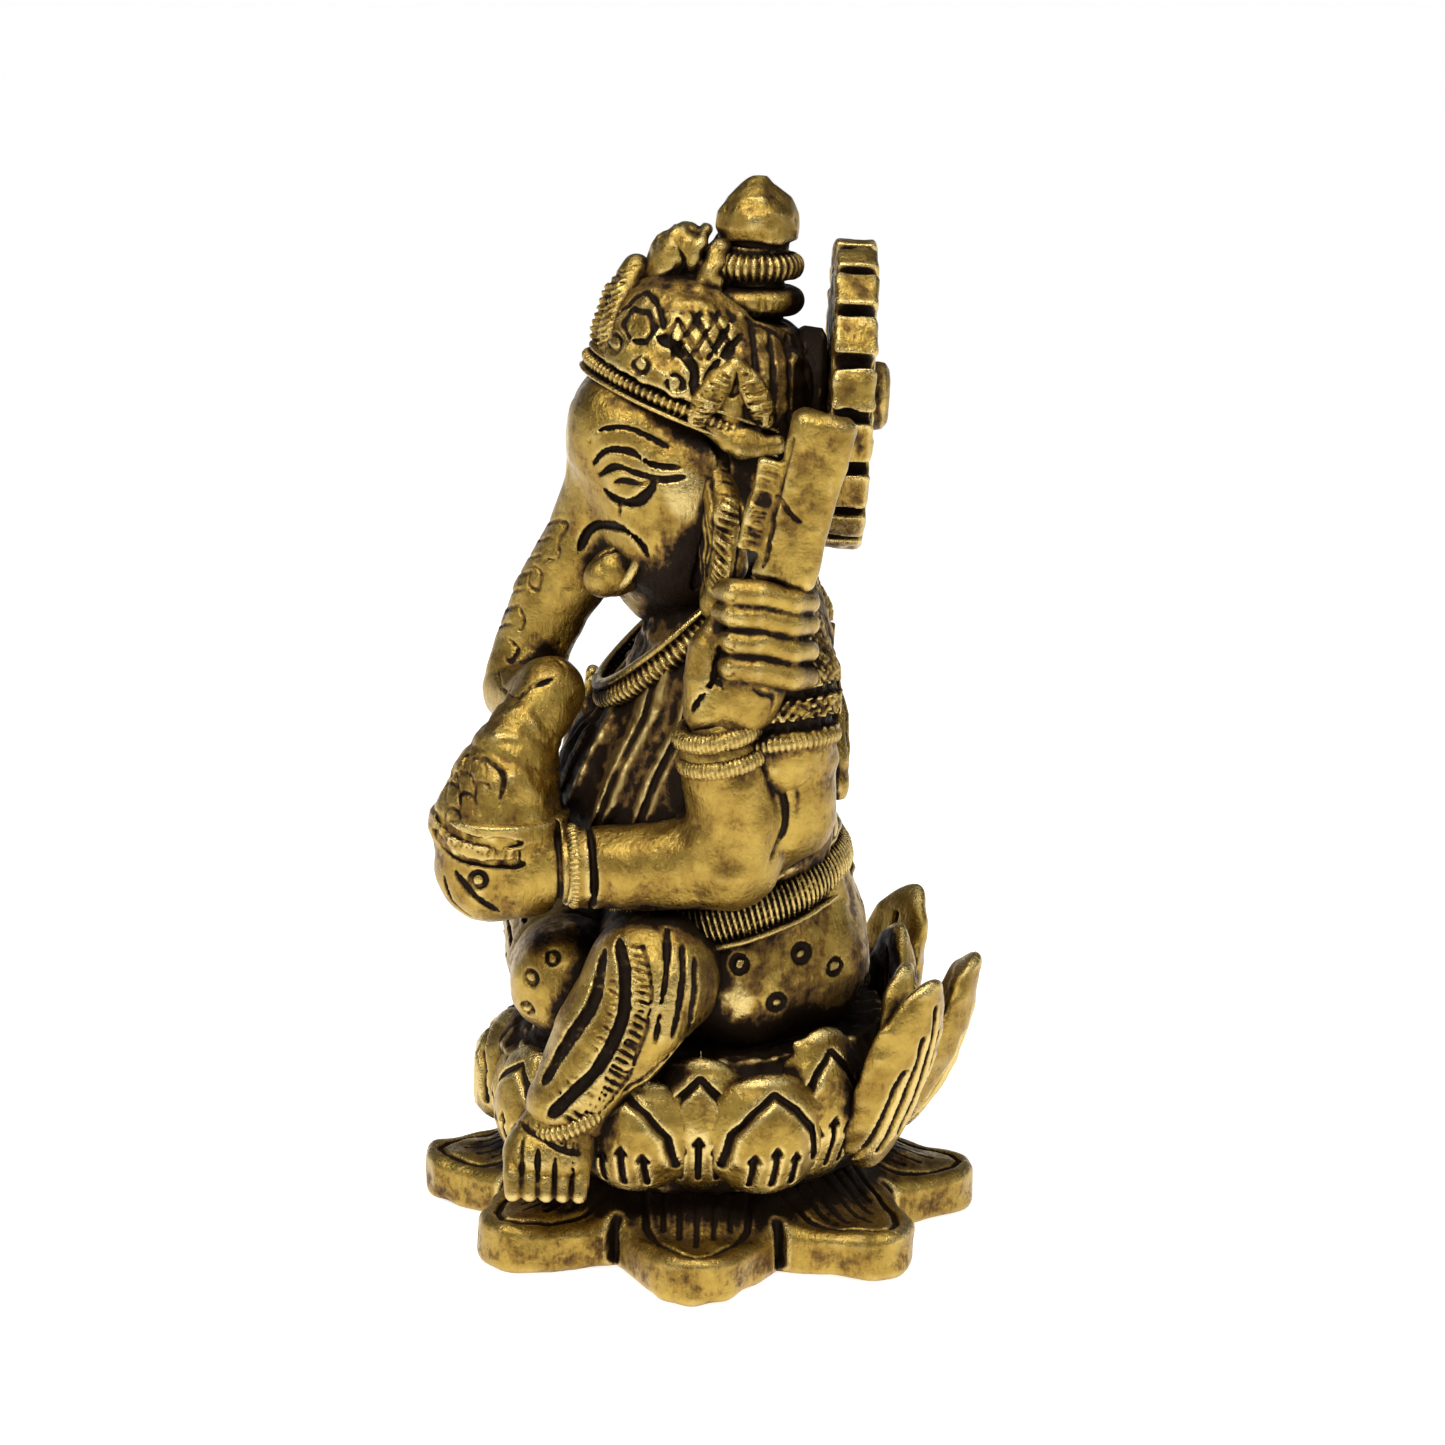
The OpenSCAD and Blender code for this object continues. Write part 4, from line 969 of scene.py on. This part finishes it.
scrolls = [
    [(2, -13.2, 61.0), (3, -12.4, 60.9), (2.6, -13.0, 59.6), (3.3, -12.9, 58.2), (2.4, -14.2, 57.8)],
    [(2, -15.2, 57.2), (2.6, -14.4, 56.7), (3.0, -14.7, 55.3), (2.2, -15.5, 55.7), (2, -15.4, 57.0)],
    [(2, -16.3, 53.6), (2.5, -15.8, 52.6), (2.4, -16.3, 51.4)],
    [(2.5, -17.1, 50.9), (3.3, -16.2, 50.2), (3.5, -16.8, 49.2), (2.9, -17.3, 49.4)],
    [(2, -18.0, 48.6), (3, -17.5, 47.5), (4, -16.6, 47.4), (5, -15.6, 47.9), (6, -14.6, 48.8)],
]
for path in scrolls:
    clay.groove(path, 0.3, 0.22, both=path is not scrolls[-1])
clay.groove([(11.2, -18.2, 44.2), (12.2, -17.9, 43.1), (13.0, -17.0, 42.2)], 0.5, 0.4)
clay.groove([(-14.4, 48.7), (-13.0, 49.3)], 0.42, 0.4)
clay.groove([(9.6, -13.6, 50.6), (10, -12.6, 50.6), (10, -12.0, 50.0)], 0.35, 0.25)
for k in range(7):
    z = 61.2 - 1.5 * k
    clay.groove([(-2.2, -13, z), (0, -15, z - 0.7), (2.2, -13, z)], 0.3, 0.2, FRONT)
for side in (-1, 1):
    clay.groove([(side * 0.5, 69.5), (side * 1.3, 67.2), (side * 0.4, 65.0)], 0.4, 0.3, FRONT)
clay.hammer(0.05, 1.3, 24).hammer(0.05, 3.0, 25)
# Painted shade: dark low behind the cheeks, under the tusks, and darker towards the back of the head, away
# from the light.
cast(clay, "head_and_trunk",
     stain_and_shade=lambda x, y, z: 2.4 * ramp(y, -7.0, -3.0) * ramp(-z, -63.0, -58.5) + 1.2 * ramp(y, -3.5, 0.5))

for name, flip in SIDES:
    clay = Clay(name + "_tusk", flip=flip)
    clay.join(limb([(5.2, -6.2, 58.6, 2.3), (6.6, -8.2, 57.7, 2.05), (6.9, -9.0, 57.3, 1.7)]), 0)
    clay.groove([(8, -9.8, 58.9), (8.4, -8.4, 59.6), (8.6, -6.8, 59.4), (8.6, -5.9, 58.4)], 0.4, 0.3,
                LEFT)
    clay.hammer(0.04, 1.4, 26)
    cast(clay)

    clay = Clay(name + "_ear", flip=flip)
    fan = [(8.7, 0, 66.1, 1.5), (11.8, 1.1, 63.8, 1.2), (11.8, 1.3, 59.5, 1.2), (9.1, 0.5, 55.8, 1.3)]
    root = (7.5, -0.1, 61, 1.6)
    for p, q in zip(fan[:-1], fan[1:]):
        mid = tuple((np.array(p) + np.array(q)) / 2)
        clay.join(joined([limb([p, q]), limb([root, p]), limb([root, q]), limb([root, mid])], 0.8), 0.8)
    clay.ticks([(11, 0.7, 67), (11, 0.5, 64.6), (11, -0.1, 61), (10, -0.5, 58)],
               [(12, 2.2, 66.6), (12, 2.2, 64.6), (12, 1.3, 60.1), (10, 1.0, 56.6)], 15, 0.34, 0.3)
    for rim in (-0.4, 1.9):
        clay.groove([(9.5, rim, 66.8), (12, rim + 0.3, 63.8), (12, rim, 59.5), (9.6, rim - 0.5, 56.4)],
                    0.3, 0.25)
    for k in range(4):
        clay.groove([(9 + 0.8 * k, 65.2 - 0.5 * k), (9.4 + 0.8 * k, 61), (9 + 0.6 * k, 57.2 + 0.4 * k)],
                    0.35, 0.28, FRONT)
    clay.hammer(0.05, 1.0, 27)
    cast(clay, stain_and_shade=0.1)

# ---------------------------------------------------------------- crown
clay = Clay("crown_cap", margin=2.0)
clay.join(wide_limb([(2.4, -2.2, 73.6, 7.4), (2.6, 1.4, 72.6, 6.7), (1.2, -0.9, 76.2, 4.6),
                     (1.4, -4.2, 76.9, 4.7)], [(0, 1), (0, 2), (1, 2), (0, 3), (2, 3)]), 0)
clay.cut(lathe((0, 3.2, 78.3), [(0, 0), (4.5, 0), (4.7, 5), (0, 5)]), 0.8)
clay.cut(slab((0, -6.0, 67.5), (14, 8.6, 6), (-20, 0, 0)), 0.3)
clay.join(wide_limb([(2.4, -2.2, 72.6, 6.5), (2.6, 1.4, 72.2, 6.1)], [(0, 1)]), 0.1)
clay.cut(slab((0, -6.0, 66.0), (14, 8.6, 6), (-20, 0, 0)), 0.1)
panel_line = [(7, -9.2, 75.6), (7, -8.6, 78.0), (7, -7.4, 79.6), (6, -6.0, 80.6), (6, -4.9, 79.6),
              (7, -4.4, 78.0)]
clay.groove([(7, -4.9, 77.4), (8, -3.3, 76.7), (8, -2.0, 75.1), (8, -1.6, 72.7)], 0.85, 0.65, LEFT,
            both=True)
clay.groove(panel_line, 0.4, 0.3, both=True)
clay.groove([(-7.8, 78.0), (-7.0, 79.3), (-5.7, 79.2), (-5.1, 78.0), (-5.8, 77.0), (-7.0, 76.9),
             (-7.8, 78.0)], 0.5, 0.4, closed=True, both=True)
for y, z in ((-8.4, 76.6), (-6.2, 75.2), (-3.4, 74.0)):
    clay.punch((y, z), 0.62, LEFT, 0.42, 0.34, both=True)
clay.hatched((-4.3, 75.9), (1.3, 79.6), LEFT, 1.5, 1.5, 0.42, 0.32, both=True)
clay.groove([(1.8, 77.6), (-0.2, 75.4), (-1.4, 73.4)], 0.6, 0.45, both=True)
for k in range(4):
    y = 3.0 + 1.4 * k
    clay.groove([(7, y - 0.4, 79), (8, y + 0.1, 75), (8, y + 0.2, 70.5)], 0.5, 0.2, both=True)
for x in (0.8, 2.4, 4.0, 5.4):
    clay.groove([(x, 79), (x * 1.1, 75), (x * 1.1, 68)], 0.5, 0.25, BACK, both=True)
clay.hammer(0.09, 0.9, 28)
# Painted shade: the cap darkens towards the back, away from the light, and on top round the foot of the
# buds.
cast(clay, stain_and_shade=lambda x, y, z: 0.1 + 0.85 * np.maximum(ramp(y, 0.8, 2.4), 0.6 * ramp(z, 79.0, 80.5)))

clay = Clay("crown_band")
for lift, tall, across, ribs in ((0.0, 0.62, 0.85, 110), (0.95, 0.24, 0.6, 0), (-0.95, 0.26, 0.75, 0)):
    clay.join(hoop((0, -0.9 + 0.34 * lift, 71.2 + 0.94 * lift), (9.7, 10.3), (across, tall), (-20, 0, 0),
                   ribs, 0.25), 0.04)
clay.cut(slab((0, 11.2, 70), (14, 6, 8)), 0.1)
cast(clay)

clay = Clay("crown_front_plate", margin=2.0)
spine = [(0, -9.9, 74.9, 0.9), (0, -9.8, 76.9, 1.0), (0, -8.8, 79.9, 1.05), (0, -7.0, 82.1, 0.95)]
wing = [(2.6, -9.2, 75.2, 0.95), (3.4, -8.9, 77.2, 1.05), (2.4, -8.1, 80.0, 1.0), (0.5, -6.9, 82.1, 0.9)]
clay.join(joined([limb(spine), both_sides(limb(wing))], 1.2), 0)
for k in range(12):
    t = k / 12
    y, z = -9.6 + 2.6 * t ** 2, 74.9 + 7.2 * t
    clay.groove([(-4, z + 0.5), (0, z), (4, z + 0.5)], 0.3, 0.26, FRONT)
    clay.groove([(y - 1.6, z + 0.1), (y + 0.5, z + 0.9)], 0.3, 0.26, both=True)
cast(clay)

clay = Clay("crown_buds", margin=2.0)
clay.join(limb([(0, -4.9, 81.9, 1.5), (0, -4.0, 83.5, 1.8), (0, -3.0, 84.4, 1.5)]), 0)
clay.join(both_sides(limb([(1.5, -4.6, 81.9, 1.35), (1.6, -3.8, 83.5, 1.6), (1.4, -2.9, 84.4, 1.3)])),
          1.2)
clay.join(limb([(0, -3.4, 80.6, 2.2), (0, -1.0, 81.4, 2.6), (0, 0.8, 82.2, 2.0)]), 0.2)
clay.join(hoop((0, -2.0, 83.6), (2.5, 2.0), (0.5, 0.5), (68, 0, 0)), 0.15)
clay.join(both_sides(limb([(2.6, -1.0, 80.9, 1.2), (2.8, -0.6, 82.4, 1.0), (2.2, 0.1, 84.2, 0.8)])), 0.3)
clay.join(both_sides(egg((3.0, -1.2, 80.2), (1.3, 1.5, 1.0))), 0.2)
clay.groove([(-3.5, 84.2), (-2.9, 83.0), (-3.4, 82.0)], 0.35, 0.3, both=True)
clay.hammer(0.14, 0.8, 29)
# Painted shade: the buds darken towards the back, away from the light.
cast(clay, stain_and_shade=lambda x, y, z: 0.5 * ramp(y, -2.2, -1.0))

for name, across, tall, ribs in (("crown_lower_ring", 1.25, 1.2, 0), ("crown_upper_ring", 1.2, 1.15, 36)):
    c = middle(name)
    clay = Clay(name, margin=2.0)
    rim = half(name)[0] - across
    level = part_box(name)[1].z / UNIT - tall
    clay.join(hoop((c[0], c[1], level), (rim, rim), (across, tall), (0, 0, 0), ribs, 0.3), 0)
    neck = [(0, -tall), (rim, -tall * 0.7), (rim, tall * 0.7), (0, tall)]
    clay.join(lathe((c[0], c[1], level), neck), 0.1)
    clay.join(lathe((c[0], c[1], level), [(0, -1.6), (2.6, -1.6), (2.6, 1.6), (0, 1.6)]), 0.2)
    if not ribs:
        for a in range(8):
            t = TAU * a / 8 + 0.2
            for shift in (-0.06, 0.06):
                x, y = (c[i] + (rim + across) * f(t + shift) for i, f in enumerate((cos, sin)))
                clay.cut(limb([(x, y, level - 1.2, 0.16), (x, y, level + 1.2, 0.16)]), 0.05)
    clay.hammer(0.04, 1.0, 30)
    # Painted shade: the rings darken towards the back, away from the light.
    cast(clay, stain_and_shade=lambda x, y, z: 0.2 + 0.5 * ramp(y, 3.6, 6.0))

c = middle("crown_finial")
r = half("crown_finial")[0]
clay = Clay("crown_finial")
clay.join(lathe((c[0], c[1], 0), [(0, 83.6), (2.5, 83.6), (2.6, 84.5), (r - 0.2, 84.8), (r, 85.8),
                                  (r - 0.15, 87), (r - 0.75, 88.3), (r - 1.9, 89.4), (0.6, 90), (0, 90)]),
          0)
clay.hammer(0.07, 0.9, 31).hammer(0.16, 2.2, 44)
cast(clay)

clay = Clay("ear_ornaments", margin=2.0)
front_strip = [(9.0, 1.4, 75.3, 0.8), (9.5, 0.2, 74.0, 1.2), (9.8, -0.9, 72.5, 1.25), (9.8, -1.5, 71.1, 0.9)]
back_strip = [(8.9, 1.6, 75.3, 0.8), (9.2, 2.6, 73.9, 1.2), (9.2, 3.4, 72.4, 1.25), (9.1, 3.9, 71.1, 0.9)]
for strip in (front_strip, back_strip):
    clay.join(both_sides(limb(strip)), 0.15)
clay.join(both_sides(egg((9.2, 1.2, 71.9), (0.9, 1.3, 2.0))), 0.1)
clay.join(both_sides(limb([(9.3, -0.5, 70.4, 0.8), (9.8, 2.0, 68.9, 1.0), (9.3, 5.0, 69.1, 0.8)])), 0.1)
clay.join(both_sides(egg((9.5, 2.1, 69.6), (0.9, 1.9, 1.0))), 0.3)
clay.ticks([(0.1, 75.0), (-1.2, 73.6), (-2.2, 72.0), (-2.5, 70.8)],
           [(1.4, 74.4), (0.9, 73.2), (0.3, 71.9), (-0.5, 70.9)], 11, 0.3, 0.3, both=True)
clay.ticks([(1.9, 74.6), (2.0, 73.2), (2.4, 72.0), (3.0, 70.9)],
           [(2.7, 75.0), (3.8, 73.8), (4.6, 72.4), (4.9, 71.0)], 10, 0.3, 0.3, both=True)
clay.groove([(1.5, 75.0), (1.6, 73.6), (1.2, 73.0)], 0.4, 0.35, both=True)
clay.hammer(0.05, 0.9, 32)
cast(clay)

# ---------------------------------------------------------------- halo wheel on its peg
spin = next(j for j in frame["joints"] if j["name"] == "halo_spin")
hub = np.array(spin["pos_m"]) / UNIT
axle = Vector(spin["axis"]).normalized()
face = tuple(np.degrees(v) for v in axle.to_track_quat("Z", "Y").to_euler("XYZ"))
wheel_r = half("halo_wheel")[0]
WHEEL_T = 3.5      # thickness of the wheel
RIM_LOBES = 18
PEG_R, BOSS_HOLE, PEG_HOLE = 1.55, 1.6, 1.65  # radii of the peg and of its holes in the boss and the wheel
HUB_BACK = -4.4    # where the peg and the boss end, along the axle


def wheel_distance(x, y, z):
    """The wheel about its own Z: a lobed rim, and on each face two rings and eight spokes."""
    rho, angle = np.sqrt(x ** 2 + y ** 2), np.arctan2(y, x)
    lobe = TAU / RIM_LOBES
    t = (angle + lobe / 2) - lobe * np.round((angle + lobe / 2) / lobe)   # 0 at a lobe's middle
    at = lobe / 2 * wheel_r
    slot = near([(at, wheel_r - 1.3), (at, wheel_r + 1)], np.abs(t) * wheel_r, rho)
    d = rounded(np.maximum(rho - wheel_r, 0.62 - slot), np.abs(z) - WHEEL_T / 2, 0.45)
    flat = np.clip((np.abs(z) - 0.8) * 2, 0, 1)
    d = d + flat * (scored(np.abs(rho - 10.4), 0.5, 0.35) + scored(np.abs(rho - 4.6), 0.5, 0.35))
    spoke = np.abs(rho * np.sin(angle * 4)) / 4
    d = d + flat * scored(np.maximum(spoke, np.abs(rho - 7.5) - 2.2), 0.6, 0.35)
    return np.maximum(d, PEG_HOLE - rho)


clay = Clay("halo_wheel")
clay.join(placed(hub, face, (wheel_r, wheel_r, WHEEL_T / 2), wheel_distance), 0)
clay.hammer(0.09, 1.1, 33)
cast(clay, body="wheel", stain_and_shade=0.3)

clay = Clay("halo_boss")
clay.join(lathe(hub, [(BOSS_HOLE, HUB_BACK), (5.2, HUB_BACK), (5.55, -3.9), (5.4, -2.4), (4.8, -1.95),
                      (BOSS_HOLE, -1.95)], face), 0)
clay.hammer(0.05, 1.0, 34)
cast(clay, stain_and_shade=0.8)

clay = Clay("halo_peg")
clay.join(lathe(hub, [(0, HUB_BACK), (PEG_R, HUB_BACK), (PEG_R, 1.9), (2.7, 1.9), (2.9, 2.3), (2.8, 3.0),
                      (2.2, 3.4), (0, 3.5)], face), 0)
clay.hammer(0.03, 1.0, 35)
cast(clay, stain_and_shade=0.1)


# ---------------------------------------------------------------- patina and painted shade
# Two darkenings settle on every piece: fine, the patina in the engraved lines, and a broad one in the gaps
# between forms, read from how much solid lies round a point, which is patina and painted shade at once.
# A gap is a blurred grid, how far ahead of the surface it is read, and where its shade starts and ends.
near_solid = np.clip(0.5 - solid_near / CREVICE_VOXEL, 0, 1)
gaps = [(box_blur(near_solid, 5), 1.3, 0.04, 0.3), (box_blur(near_solid, 11), 2.6, 0.1, 0.36)]
for obj, where, fine, shade in finished:
    mesh = obj.data
    normals = np.zeros(len(mesh.vertices) * 3, np.float32)
    mesh.vertices.foreach_get("normal", normals)
    gap_patina_and_shade = 0
    for grid, ahead, low, high in gaps:
        at = (where + normals.reshape(-1, 3) * ahead - CREVICE_LOW) / CREVICE_VOXEL
        gap_patina_and_shade = np.maximum(gap_patina_and_shade, ramp(sampled(grid, at), low, high))
    for label, values in (("fine", fine), ("gap_patina_and_shade", gap_patina_and_shade), ("stain_and_shade", shade)):
        layer = mesh.attributes.new(label, "FLOAT", "POINT")
        layer.data.foreach_set("value", np.asarray(values, np.float32))


# ---------------------------------------------------------------- materials
MM = 1000.0  # procedural textures are scaled per metre


class Nodes:
    """A material and short ways to add and link its nodes."""

    def __init__(self, name):
        self.material = bpy.data.materials.new(name)
        self.material.use_nodes = True
        self.tree = self.material.node_tree
        self.shader = next(n for n in self.tree.nodes if n.type == "BSDF_PRINCIPLED")
        self.place = self.add("ShaderNodeTexCoord").outputs["Object"]

    def add(self, kind, **values):
        node = self.tree.nodes.new(kind)
        for key, value in values.items():
            setattr(node, key, value)
        return node

    def link(self, out, into):
        self.tree.links.new(out, into)

    def noise(self, size_mm, detail=4.0, rough=0.55, stretch=None):
        """Noise whose features are about size_mm across."""
        node = self.add("ShaderNodeTexNoise")
        node.inputs["Scale"].default_value = MM / size_mm
        node.inputs["Detail"].default_value = detail
        node.inputs["Roughness"].default_value = rough
        source = self.place
        if stretch:
            mapping = self.add("ShaderNodeMapping")
            mapping.inputs["Scale"].default_value = stretch
            self.link(source, mapping.inputs["Vector"])
            source = mapping.outputs["Vector"]
        self.link(source, node.inputs["Vector"])
        return node.outputs["Fac"]

    def ranged(self, value, low, high, to_low=0.0, to_high=1.0):
        """A value's place from low to high, as a smooth step between two results."""
        node = self.add("ShaderNodeMapRange", interpolation_type="SMOOTHSTEP")
        for key, v in (("From Min", low), ("From Max", high), ("To Min", to_low), ("To Max", to_high)):
            node.inputs[key].default_value = v
        self.link(value, node.inputs["Value"])
        return node.outputs["Result"]

    def math(self, kind, a, b):
        """A sum or the like of two sockets, or of a socket and a number."""
        node = self.add("ShaderNodeMath", operation=kind)
        for socket, v in zip(node.inputs, (a, b)):
            if isinstance(v, (int, float)):
                socket.default_value = v
            else:
                self.link(v, socket)
        return node.outputs[0]

    def mixed(self, factor, a, b):
        """One colour turning into another; each is a socket or red, green and blue."""
        node = self.add("ShaderNodeMix", data_type="RGBA")
        self.link(factor, node.inputs["Factor"])
        for socket, v in zip((node.inputs[6], node.inputs[7]), (a, b)):
            if isinstance(v, tuple):
                socket.default_value = (*v, 1)
            else:
                self.link(v, socket)
        return node.outputs[2]

    def attribute(self, name):
        return self.add("ShaderNodeAttribute", attribute_name=name).outputs["Fac"]


RUBBED_TONE = (0.80, 0.62, 0.25)
# Brown and black are the patina's colours, and they also paint shade.
BROWN_TONE = (0.15, 0.078, 0.024)
BLACK_TONE = (0.015, 0.0075, 0.003)


def brass(name, bright, deep, polish):
    """Cast brass, rubbed bright where it stands proud and dark brown to black where it is hollow, with
    painted shade in the gaps between forms and on each piece's shaded parts.
    """
    n = Nodes(name)
    blotch = n.noise(3.0, 6.0, 0.62)
    grain = n.noise(0.5, 5.0, 0.65)
    gap_patina_and_shade, fine, stain_and_shade = (n.attribute(label) for label in ("gap_patina_and_shade", "fine", "stain_and_shade"))
    rubbed = n.ranged(fine, -0.8, -0.15, 1.0, 0.0)
    streaks = n.noise(0.4, 4.0, 0.65, stretch=(1.0, 1.0, 0.14))
    patches = n.math("MULTIPLY", n.math("SUBTRACT", blotch, 0.45), 2.2)
    specks = n.math("ADD", n.math("MULTIPLY", n.math("SUBTRACT", grain, 0.5), 1.3),
                    n.math("MULTIPLY", n.math("SUBTRACT", streaks, 0.5), 0.8))
    # How dark each point is: patina in the engraved lines, patina with painted shade in the gaps, random
    # specks and patches, and each piece's stain and painted shade.
    dirt_and_shade = n.math("ADD", n.math("MULTIPLY", fine, 1.25), n.math("MULTIPLY", gap_patina_and_shade, 1.15))
    spots_and_shade = n.math("ADD", patches, n.math("MULTIPLY", stain_and_shade, 0.7))
    dirt_and_shade = n.math("ADD", n.math("ADD", dirt_and_shade, specks), spots_and_shade)
    black = n.ranged(dirt_and_shade, 0.45, 1.05)
    brown = n.ranged(dirt_and_shade, 0.1, 0.62)
    tone = n.mixed(n.ranged(blotch, 0.3, 0.7), bright, deep)
    tone = n.mixed(n.math("MULTIPLY", rubbed, 0.6), tone, RUBBED_TONE)
    tone = n.mixed(n.math("MULTIPLY", brown, 0.85), tone, BROWN_TONE)
    tone = n.mixed(black, tone, BLACK_TONE)
    n.link(tone, n.shader.inputs["Base Color"])
    n.shader.inputs["Specular IOR Level"].default_value = 0.15
    n.link(n.ranged(dirt_and_shade, 0.35, 0.95, 1.0, 0.35), n.shader.inputs["Metallic"])
    rough = n.math("ADD", n.ranged(grain, 0.3, 0.7, polish, polish + 0.14),
                   n.math("MULTIPLY", brown, 0.2))
    n.link(n.math("SUBTRACT", rough, n.math("MULTIPLY", rubbed, 0.08)), n.shader.inputs["Roughness"])
    height = n.math("ADD", n.math("MULTIPLY", grain, 0.8), n.math("MULTIPLY", streaks, 0.7))
    bump = n.add("ShaderNodeBump")
    bump.inputs["Strength"].default_value = 0.7
    bump.inputs["Distance"].default_value = 0.0002
    n.link(height, bump.inputs["Height"])
    n.link(bump.outputs["Normal"], n.shader.inputs["Normal"])
    return n.material


BRASS = brass("cast_brass", (0.45, 0.30, 0.065), (0.255, 0.15, 0.028), 0.25)
DARKER_BRASS = brass("darker_brass", (0.30, 0.195, 0.06), (0.17, 0.10, 0.03), 0.36)
DARKER_LEVEL = 0.4  # a piece darkened more than this all over gets the darker brass
for obj, _, _, shade in finished:
    obj.data.materials.append(DARKER_BRASS if shade.min() > DARKER_LEVEL else BRASS)
for node in frame["nodes"].values():
    node.data.materials.clear()
    node.data.materials.append(BRASS)

# ---------------------------------------------------------------- floor, light and camera
FLOOR_SPAN = 900     # figure heights, so that its edge lies on the horizon
LIT_HEIGHT = 0.483   # what the lights aim at, in figure heights above the floor
height = cad_high.z - cad_low.z
centre = Vector((0, 0, cad_low.z + height * LIT_HEIGHT))
bpy.ops.mesh.primitive_plane_add(size=height * FLOOR_SPAN, location=(0, 0, cad_low.z))
floor = bpy.context.object
floor.name = "floor"
pale = Nodes("pale_floor")
pale_tone = pale.mixed(pale.noise(60, 2.0), (0.93, 0.93, 0.93), (0.95, 0.95, 0.95))
pale.link(pale_tone, pale.shader.inputs["Base Color"])
pale.shader.inputs["Roughness"].default_value = 0.7
pale.shader.inputs["Emission Color"].default_value = (1, 1, 1, 1)
pale.shader.inputs["Emission Strength"].default_value = 0.82
floor.data.materials.append(pale.material)

world = bpy.data.worlds.new("studio")
bpy.context.scene.world = world
world.use_nodes = True
tree = world.node_tree
background = next(n for n in tree.nodes if n.type == "BACKGROUND")
coords = tree.nodes.new("ShaderNodeTexCoord")
split = tree.nodes.new("ShaderNodeSeparateXYZ")
sky = tree.nodes.new("ShaderNodeValToRGB")
tree.links.new(coords.outputs["Generated"], split.inputs[0])
tree.links.new(split.outputs["Z"], sky.inputs["Fac"])
tree.links.new(sky.outputs["Color"], background.inputs["Color"])
# The sky is pale at the horizon, dark above it and a little lighter overhead.
for place, shade in ((0.0, 0.9), (0.08, 0.9), (0.16, 0.1), (0.45, 0.07), (0.62, 0.13), (1.0, 0.3)):
    stop = sky.color_ramp.elements.new(place) if 0 < place < 1 else sky.color_ramp.elements[-int(place)]
    stop.position = place
    stop.color = (shade, shade, shade, 1)
bpy.context.scene.view_settings.view_transform = "Standard"


def soft_light(name, azimuth, elevation, distance, size, power):
    """A square area light aimed at the figure; azimuth 90 is on its left side, +X."""
    a, e = radians(azimuth), radians(elevation)
    data = bpy.data.lights.new(name, "AREA")
    data.size = size * height
    data.energy = power * height ** 2
    light = bpy.data.objects.new(name, data)
    bpy.context.scene.collection.objects.link(light)
    away = Vector((sin(a) * cos(e), -cos(a) * cos(e), sin(e)))
    light.location = centre + away * distance * height
    light.rotation_euler = (-away).to_track_quat("-Z", "Y").to_euler()


soft_light("key", 62, 56, 4.5, 1.6, 112)
soft_light("front_fill", 15, 18, 5.0, 1.8, 13)
soft_light("back_rim", 150, 35, 4.5, 1.6, 30)
soft_light("overhead", 90, 85, 4.0, 2.2, 34)

VIEW_ELEVATION = 13.8   # degrees above the horizon
VIEW_ROLL = 1.4         # degrees that the figure leans clockwise in the view
VIEW_DISTANCE = 283.8   # mm from the point looked at
AIM = (1.115, 43.48)    # mm, how far back and how high the point looked at lies
SENSOR = 36             # mm
LENS = 82.46            # mm
camera = bpy.data.objects.new("camera", bpy.data.cameras.new("camera"))
bpy.context.scene.collection.objects.link(camera)
camera.data.sensor_width = SENSOR
camera.data.lens = LENS
camera.data.clip_start = height * 0.05
camera.data.clip_end = height * 1500
away = Vector((cos(radians(VIEW_ELEVATION)), 0, sin(radians(VIEW_ELEVATION))))
aim = Vector((0, AIM[0] * UNIT, AIM[1] * UNIT + cad_low.z))
camera.location = aim + away * VIEW_DISTANCE * UNIT
turn = (-away).to_track_quat("-Z", "Y")
camera.rotation_mode = "QUATERNION"
camera.rotation_quaternion = turn @ Quaternion((0, 0, 1), radians(VIEW_ROLL))
bpy.context.scene.camera = camera
